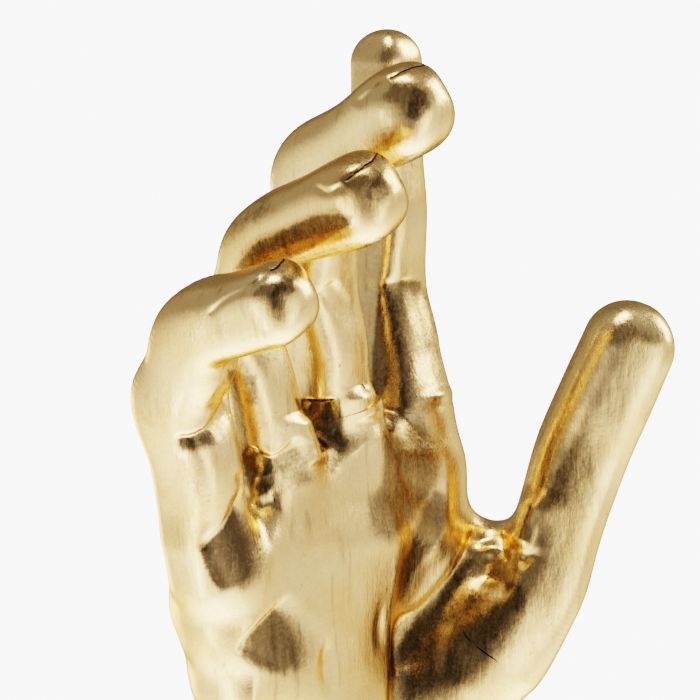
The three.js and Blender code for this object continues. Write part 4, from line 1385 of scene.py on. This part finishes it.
@dataclass(frozen=True)
class GoldFinish:
    """Worn gilding: pale gold with deeper clouds, darker streaks, painted shade and painted dark
    reflections, near-black hairlines, rub-through and brushed grain.

    Scales are those of noises, per metre, a range is the part of a noise over which its
    effect sets in, and squash is how far a grain is drawn out along Z. Heights weigh the
    noises of the bump: brushed, fine, lumps and streaks.
    """

    pale: tuple = (1.0, 0.766, 0.38, 1)
    deep: tuple = (0.92, 0.65, 0.28, 1)
    # Dark brown: the toning of the streaks, and the painted shade and painted dark reflections laid by the
    # shade mark
    patina_and_painted_shade: tuple = (0.130, 0.093, 0.046, 1)
    brown: tuple = (0.31, 0.14, 0.06, 1)
    # Near-black along the carved hairlines: painted shade in the web creases, the dark of the nail cracks
    crease_shade_and_crack_dark: tuple = (0.035, 0.022, 0.012, 1)
    tint: tuple = (0.95, 0.78, 0.5, 1)
    cloud_scale: float = 60.0
    cloud_range: tuple = (0.38, 0.66)
    wander: tuple = (0.0022, 0.0022, 0.012)
    brushed_scale: float = 1700.0
    brushed_squash: float = 0.06
    brushed_range: tuple = (0.3, 0.7)
    streak_scale: float = 420.0
    streak_squash: float = 0.09
    streak_range: tuple = (0.56, 0.72)
    streak_patina: float = 0.35
    fine_scale: float = 1500.0
    lump_scale: float = 260.0
    speck_scale: float = 1300.0
    speck_range: tuple = (0.62, 0.70)
    region_scale: float = 75.0
    region_range: tuple = (0.47, 0.66)
    rub_through: float = 0.75
    roughness: tuple = (0.17, 0.34)
    worn_roughness: float = 0.25
    crack_range: tuple = (0.72, 0.86)
    crack_roughness: float = 0.4
    heights: tuple = (0.5, 0.5, 1.6, 0.8)
    bump_strength: float = 0.5
    bump_distance: float = 0.00014

    def grain(self, sheet: NodeSheet, place: object) -> tuple:
        """Brushed grain and streaks: noises drawn out along Z on wandering coordinates.

        Args:
            sheet: The material's nodes.
            place: Object coordinates.

        Returns:
            The sockets of both noises.
        """
        drift = sheet.add("ShaderNodeTexNoise", {"Vector": place, "Scale": self.cloud_scale, "Detail": 3.0})
        bent = sheet.add("ShaderNodeVectorMath", {0: drift.outputs["Color"], 1: self.wander, 2: place},
                         operation="MULTIPLY_ADD").outputs["Vector"]
        grains = ((self.brushed_scale, self.brushed_squash, 0.65),
                  (self.streak_scale, self.streak_squash, 0.6))
        noises = []
        for scale, squash, roughness in grains:
            drawn = sheet.add("ShaderNodeMapping", {"Vector": bent, "Scale": (1, 1, squash)})
            noises.append(sheet.noise(drawn.outputs["Vector"], scale, 4, roughness))
        return tuple(noises)

    def ragged(self, sheet: NodeSheet, shade: object, fine: object, streak: object) -> bpy.types.NodeSocket:
        """The painted shade's share: its shade, frayed by the grain where it fades out.

        Args:
            sheet: The material's nodes.
            shade: The painted shade laid on the skin.
            fine: The fine noise.
            streak: The streaks.

        Returns:
            The share's socket.
        """
        grainy = sheet.total((fine, 0.8), (streak, 0.7))
        margin = sheet.math("MULTIPLY", sheet.ramp(shade, 0.0, 0.3), sheet.ramp(shade, 0.5, 0.85, 1.0, 0.35))
        swing = sheet.math("MULTIPLY", sheet.math("SUBTRACT", grainy, 0.75), 1.6)
        return sheet.math("ADD", shade, sheet.math("MULTIPLY", swing, margin), True)

    def material(self, name: str, clouds: bpy.types.NodeTree) -> bpy.types.Material:
        """The material, with its clouds, grain and worn spots in object space.

        Args:
            name: The material's name.
            clouds: The shared clouds.

        Returns:
            The material.
        """
        made, sheet, place = new_material(name)
        crack, shade = (sheet.add("ShaderNodeAttribute", attribute_name=mark).outputs["Fac"]
                        for mark in ("crack", "shade"))
        brushed, streak = self.grain(sheet, place)
        fine = sheet.noise(place, self.fine_scale, 4, 0.65)
        lumps = sheet.noise(place, self.lump_scale, 3, 0.55)
        low, high = self.cloud_range
        colour = sheet.add("ShaderNodeGroup", {
            "Place": place, "Scale": self.cloud_scale, "Low": low, "High": high, "Pale": self.pale,
            "Deep": self.deep}, node_tree=clouds).outputs["Colour"]
        smear = sheet.ramp(streak, *self.streak_range, 0, self.streak_patina)
        colour = sheet.mix(smear, colour, self.patina_and_painted_shade)
        speck = sheet.ramp(sheet.noise(place, self.speck_scale, 3, 0.7), *self.speck_range)
        region = sheet.ramp(sheet.noise(place, self.region_scale, 3, 0.6), *self.region_range)
        worn = sheet.math("MULTIPLY", speck, region)
        colour = sheet.mix(sheet.math("MULTIPLY", worn, self.rub_through), colour, self.brown)
        # Painted shade and painted dark reflections: the skin's shade mark darkens the gilding to dark brown
        colour = sheet.mix(self.ragged(sheet, shade, fine, streak), colour, self.patina_and_painted_shade)
        # Near-black along the carved hairlines: painted shade in the web creases, the dark of the nail cracks
        line = sheet.ramp(crack, *self.crack_range)
        colour = sheet.mix(line, colour, self.crease_shade_and_crack_dark)
        wear = sheet.total((worn, self.worn_roughness), (line, self.crack_roughness))
        rough = sheet.math("ADD", sheet.ramp(brushed, *self.brushed_range, *self.roughness), wear)
        height = sheet.total(*zip((brushed, fine, lumps, streak), self.heights))
        sheet.surface({"Base Color": colour, "Metallic": 1.0, "Roughness": rough, "Specular Tint": self.tint},
                      height, self.bump_strength, self.bump_distance)
        return made


@dataclass(frozen=True)
class PlainFinish:
    """A simple finish with soft clouds in its colour, roughness and height."""

    colour: tuple
    shade: tuple
    metallic: float
    roughness: tuple
    scale: float
    bump: float
    cloud_range: tuple = (0.3, 0.7)
    bump_distance: float = 0.0002

    def material(self, name: str, clouds: bpy.types.NodeTree) -> bpy.types.Material:
        """The material, in object space.

        Args:
            name: The material's name.
            clouds: The shared clouds.

        Returns:
            The material.
        """
        made, sheet, place = new_material(name)
        low, high = self.cloud_range
        cloud = sheet.add("ShaderNodeGroup", {
            "Place": place, "Scale": self.scale, "Low": low, "High": high, "Pale": self.colour,
            "Deep": self.shade}, node_tree=clouds).outputs
        rough = sheet.between(cloud["Share"], *self.roughness)
        sheet.surface({"Base Color": cloud["Colour"], "Metallic": self.metallic, "Roughness": rough},
                      cloud["Noise"], self.bump, self.bump_distance)
        return made


GOLD = GoldFinish()
STEEL = PlainFinish((0.56, 0.57, 0.58, 1), (0.44, 0.45, 0.46, 1), 1.0, (0.28, 0.42), 900, 0.2)
PAINTED = PlainFinish((0.035, 0.035, 0.037, 1), (0.05, 0.05, 0.052, 1), 0.0, (0.45, 0.6), 700, 0.3)
FELT = PlainFinish((0.045, 0.055, 0.05, 1), (0.085, 0.095, 0.09, 1), 0.0, (0.9, 1.0), 1800, 0.9)


@dataclass(frozen=True)
class HandCasting:
    """The palm and the five digits as six castings that meet flush at their joints.

    Cell is the first mesh's pitch, and buffing the width over which the palm's hollow is
    smoothed: the turns grow with the square of twice that width over the pitch. Palmar is
    the range of facing away from the back of the hand over which the buffing sets in,
    facing and seen are those of facing the viewer for the folds and for the painted shade,
    and the feet are the heights up to which buffing and carving fade out towards the base.
    """

    form: HandForm
    cell: float = 1.3
    digit_margin: float = 14.0
    digit_sink: float = 10.0
    digit_splits: int = 2
    palm_low: tuple = (-52, -42, 3)
    palm_high: tuple = (66, 32, 162)
    palm_splits: int = 1
    buffing: float = 9.0
    buffing_turns: float = 2.9
    buffing_foot: float = 60.0
    palmar: tuple = (0.1, 0.5)
    carving_foot: float = BASE_CUT + 8
    facing: tuple = (0.0, 0.3)
    seen: tuple = (-0.2, 0.0)

    def casting(self, piece: Piece) -> Casting:
        """A piece's skin: a digit's above its root joint, or the palm's down to the rim.

        Args:
            piece: The casting.

        Returns:
            Its skin, cut and split.
        """
        if piece is PALM:
            return Casting(self.form.palm_skin, self.form.palm_side, self.palm_low, self.palm_high, self.cell,
                           self.palm_splits)
        digit = self.form.digits[piece]
        low, high = digit.points.min(0) - self.digit_margin, digit.points.max(0) + self.digit_margin
        low[2] = max(low[2], digit.root[2] - self.digit_sink)
        return Casting(lambda p: self.form.digit_skin(piece, p), lambda p: self.form.digit_side(piece, p),
                       low, high, self.cell, self.digit_splits)

    def shell(self, piece: Piece) -> Shell:
        """A closed casting: its skin, a cap over each joint and, on the palm, the rim.

        Args:
            piece: The casting.

        Returns:
            The finished mesh, carved and with its marks.
        """
        casting = self.casting(piece)
        skin = casting.skin
        points, faces, caps, sharp = [skin.points], [skin.quads], [], []
        count = len(skin.points)
        for loop in skin.loops():
            edge = skin.points[loop]
            if piece is PALM and edge[:, 2].max() < BASE_CUT + 1:
                rings, walls, creased, loop = Rim().build(casting.form, edge, loop, count)
                points, faces, sharp = points + rings, faces + walls, sharp + creased
                count += len(rings) * len(edge)
                edge = rings[-1]
            else:
                sharp.append(np.stack([loop, np.roll(loop, -1)], 1))
            points.append(edge.mean(0)[None])
            caps.append(np.stack([np.roll(loop, -1), loop, np.full(len(loop), count)], 1))
            count += 1
        faces, caps = np.vstack(faces), np.vstack(caps)
        points = self.smoothed(piece, casting, Skin(np.vstack(points), faces, caps))
        depth, crack, shade = self.carved(piece, casting, points)
        points = points - unit(slope_of(casting.form, points)) * depth[:, None]
        return Shell(points, [faces, caps], np.vstack(sharp), {"crack": crack, "shade": shade})

    def smoothed(self, piece: Piece, casting: Casting, skin: Skin) -> Array:
        """The skin's points, with the hollow of the palm buffed where it faces the viewer.

        Args:
            piece: The casting.
            casting: Its form.
            skin: Its closed skin.

        Returns:
            The points.
        """
        if piece not in HOLLOW.pieces:
            return skin.points
        palmar = smooth_step(-unit(slope_of(casting.form, skin.points))[:, 1], *self.palmar)
        over_base = smooth_step(skin.points[:, 2], BASE_CUT, self.buffing_foot)
        share = HOLLOW.cover(in_picture(skin.points)) * palmar * over_base
        turns = round(self.buffing_turns * (2 * self.buffing / self.cell) ** 2)
        return buffed(skin.points, skin.edges(), share, turns)

    def carved(self, piece: Piece, casting: Casting, points: Array) -> tuple[Array, Array, Array]:
        """How deep the folds, how near the dark hairlines and how much painted shade at each point.

        Args:
            piece: The casting.
            casting: Its form.
            points: Its points.

        Returns:
            Depths in millimetres, nearness to a dark hairline, and shares of painted shade.
        """
        spots = in_picture(points)
        towards = unit(slope_of(casting.form, points)) @ BACK_WAY
        facing, seen = smooth_step(towards, *self.facing), smooth_step(towards, *self.seen)
        over_base = smooth_step(points[:, 2], BASE_CUT, self.carving_foot)
        depth, dark, shade = np.zeros((3, len(points)))
        for crease in CREASES:
            if piece in crease.pieces:
                deep, black = crease.carve(spots)
                depth, dark = depth + deep, np.maximum(dark, black)
        # Painted shade and painted dark reflections from the patches
        for patch in PATCHES:
            if piece in patch.pieces:
                shade = np.maximum(shade, patch.cover(spots))
        return depth * facing * over_base, dark * seen, shade * seen

    def build(self, gold: bpy.types.Material) -> None:
        """Makes the six castings, gilded, each in its CAD node's place.

        Args:
            gold: The gilding.
        """
        for piece in Piece:
            thing = self.shell(piece).to_object(f"{piece.value}_skin", gold)
            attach(thing, "root")
            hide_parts(piece.value)


@dataclass(frozen=True)
class Hardware:
    """The rods, the base plate, its screws and the felt: CAD nodes that only get a finish."""

    screws: int = 3

    def dress(self, clouds: bpy.types.NodeTree) -> None:
        """Gives each node its finish.

        Args:
            clouds: The shared clouds.
        """
        rods = [f"{piece.value}_rod" for piece in DIGITS]
        screws = [f"base_screw_{number + 1}" for number in range(self.screws)]
        kits = ((STEEL, "steel", Slot.STEEL, rods + screws),
                (PAINTED, "painted_steel", Slot.BASE_STEEL, ["base_plate"]),
                (FELT, "felt", Slot.FELT, ["base_felt"]))
        for finish, title, slot, names in kits:
            material = finish.material(title, clouds)
            for name in names:
                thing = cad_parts[name]
                thing.data.materials.clear()
                thing.data.materials.append(material)
                LOG.info("%s: %s", name, title)


@dataclass(frozen=True)
class TentPanel:
    """A soft-edged panel of the light tent, in degrees of heading and rise, and its level.

    Headings count from the camera's side, to the right as the camera sees it.
    """

    left: tuple
    right: tuple
    low: tuple
    high: tuple
    level: float


PANELS = (
    TentPanel(left=(140, 158), right=(199, 200), low=(-52, -38), high=(91, 92), level=0.2),
    TentPanel(left=(-200, -199), right=(-160, -140), low=(-52, -38), high=(91, 92), level=0.2),
    TentPanel(left=(56, 70), right=(140, 155), low=(-16, -4), high=(16, 28), level=0.75),
    TentPanel(left=(94, 104), right=(124, 134), low=(6, 12), high=(36, 46), level=6.0),
    TentPanel(left=(-162, -152), right=(-134, -124), low=(-34, -26), high=(-16, -8), level=3.6),
    TentPanel(left=(-66, -58), right=(-30, -22), low=(-60, -50), high=(-18, -8), level=2.3),
    TentPanel(left=(-56, -50), right=(-42, -36), low=(-44, -38), high=(-30, -24), level=5.0),
    TentPanel(left=(24, 30), right=(52, 60), low=(-40, -30), high=(-10, -2), level=2.4),
    TentPanel(left=(-20, -11), right=(7, 16), low=(-30, -18), high=(0, 10), level=0.22),
    TentPanel(left=(-62, -50), right=(42, 54), low=(0, 8), high=(80, 88), level=0.12),
    TentPanel(left=(20, 28), right=(62, 72), low=(-12, -4), high=(12, 20), level=1.6),
    TentPanel(left=(-200, -199), right=(199, 200), low=(72, 80), high=(91, 92), level=6.0),
)


@dataclass(frozen=True)
class Studio:
    """The pale floor, the soft light tent with its dark side, and the camera.

    Ground and horizon are (low, high, level there, level there) of the tent's light by its
    rise in degrees, and the two are multiplied.
    """

    floor_size: float = 6.0
    floor_colour: tuple = (0.9, 0.9, 0.9, 1)
    floor_roughness: float = 0.8
    floor_glow: float = 3.0
    ground: tuple = (-76, -22, 4.2, 1.1)
    horizon: tuple = (-26, 8, 1, 0.3)
    tent_colour: tuple = (0.96, 0.84, 0.81, 1)
    white: tuple = (1, 1, 1, 1)
    backdrop: float = 3.5
    clip: tuple = (0.01, 50)

    def floor(self) -> None:
        """A plain pale floor that polished metal doesn't mirror."""
        half = self.floor_size / 2
        corners = [(-half, -half, 0), (half, -half, 0), (half, half, 0), (-half, half, 0)]
        mesh = bpy.data.meshes.new("floor")
        mesh.from_pydata(corners, [], [(0, 1, 2, 3)])
        material = bpy.data.materials.new("pale_floor")
        material.use_nodes = True
        shader = material.node_tree.nodes["Principled BSDF"]
        for name, value in {"Base Color": self.floor_colour, "Roughness": self.floor_roughness,
                            "Emission Color": self.white, "Emission Strength": self.floor_glow}.items():
            shader.inputs[name].default_value = value
        mesh.materials.append(material)
        thing = bpy.data.objects.new("floor", mesh)
        thing.visible_glossy = False
        bpy.context.scene.collection.objects.link(thing)

    def tent(self) -> None:
        """White light all round but for a dark upright band behind the camera.

        A panel's share is the product of the smooth rises at its four edges, and the
        panels lie over each other in their order.
        """
        world = bpy.data.worlds.new("light_tent")
        bpy.context.scene.world = world
        world.use_nodes = True
        world.node_tree.nodes.clear()
        sheet = NodeSheet(world.node_tree)
        way = sheet.add("ShaderNodeTexCoord").outputs["Generated"]
        ahead = (math.sin(VIEW_AZIMUTH), -math.cos(VIEW_AZIMUTH), 0)
        forward, across = (
            sheet.add("ShaderNodeVectorMath", {0: way, 1: axis}, operation="DOT_PRODUCT").outputs["Value"]
            for axis in (ahead, RIGHT_WAY))
        heading = sheet.math("DEGREES", sheet.math("ARCTAN2", across, forward))
        height = sheet.add("ShaderNodeSeparateXYZ", {0: way}).outputs["Z"]
        rise = sheet.math("DEGREES", sheet.math("ARCSINE", height))
        level = sheet.math("MULTIPLY", sheet.ramp(rise, *self.ground), sheet.ramp(rise, *self.horizon))
        for panel in PANELS:
            wide, tall = (
                sheet.math("MULTIPLY", sheet.ramp(angle, *first), sheet.ramp(angle, *last, 1, 0))
                for angle, first, last in ((heading, panel.left, panel.right), (rise, panel.low, panel.high)))
            level = sheet.between(sheet.math("MULTIPLY", wide, tall), level, panel.level)
        seen = sheet.add("ShaderNodeLightPath").outputs["Is Camera Ray"]
        tent = sheet.add("ShaderNodeBackground", {"Color": self.tent_colour, "Strength": level})
        backdrop = sheet.add("ShaderNodeBackground", {"Color": self.white, "Strength": self.backdrop})
        both = sheet.add("ShaderNodeMixShader", {0: seen, 1: tent.outputs[0], 2: backdrop.outputs[0]})
        sheet.add("ShaderNodeOutputWorld", {"Surface": both.outputs[0]})

    def camera(self) -> None:
        """The camera at the photograph's angle."""
        back = Vector(BACK_WAY)
        data = bpy.data.cameras.new("camera")
        data.sensor_width = SENSOR_WIDTH
        data.lens = SENSOR_WIDTH * VIEW_DISTANCE / PICTURE_WIDTH
        data.clip_start, data.clip_end = self.clip
        thing = bpy.data.objects.new("camera", data)
        thing.location = Vector(VIEW_TARGET * MM) + back * (VIEW_DISTANCE * MM)
        thing.rotation_euler = back.to_track_quat("Z", "Y").to_euler()
        bpy.context.scene.collection.objects.link(thing)
        bpy.context.scene.camera = thing

    def build(self) -> None:
        """Floor, light, camera and the way the picture is developed."""
        self.floor()
        self.tent()
        self.camera()
        settings = bpy.context.scene.view_settings
        settings.view_transform, settings.look = "Filmic", "High Contrast"


def main() -> None:
    """Builds every piece, then the studio."""
    logging.basicConfig(level=logging.INFO, format="%(message)s")
    clouds = clouds_group()
    HandCasting(HandForm()).build(GOLD.material("gilding", clouds))
    Hardware().dress(clouds)
    Studio().build()


if __name__ == "__main__":
    main()
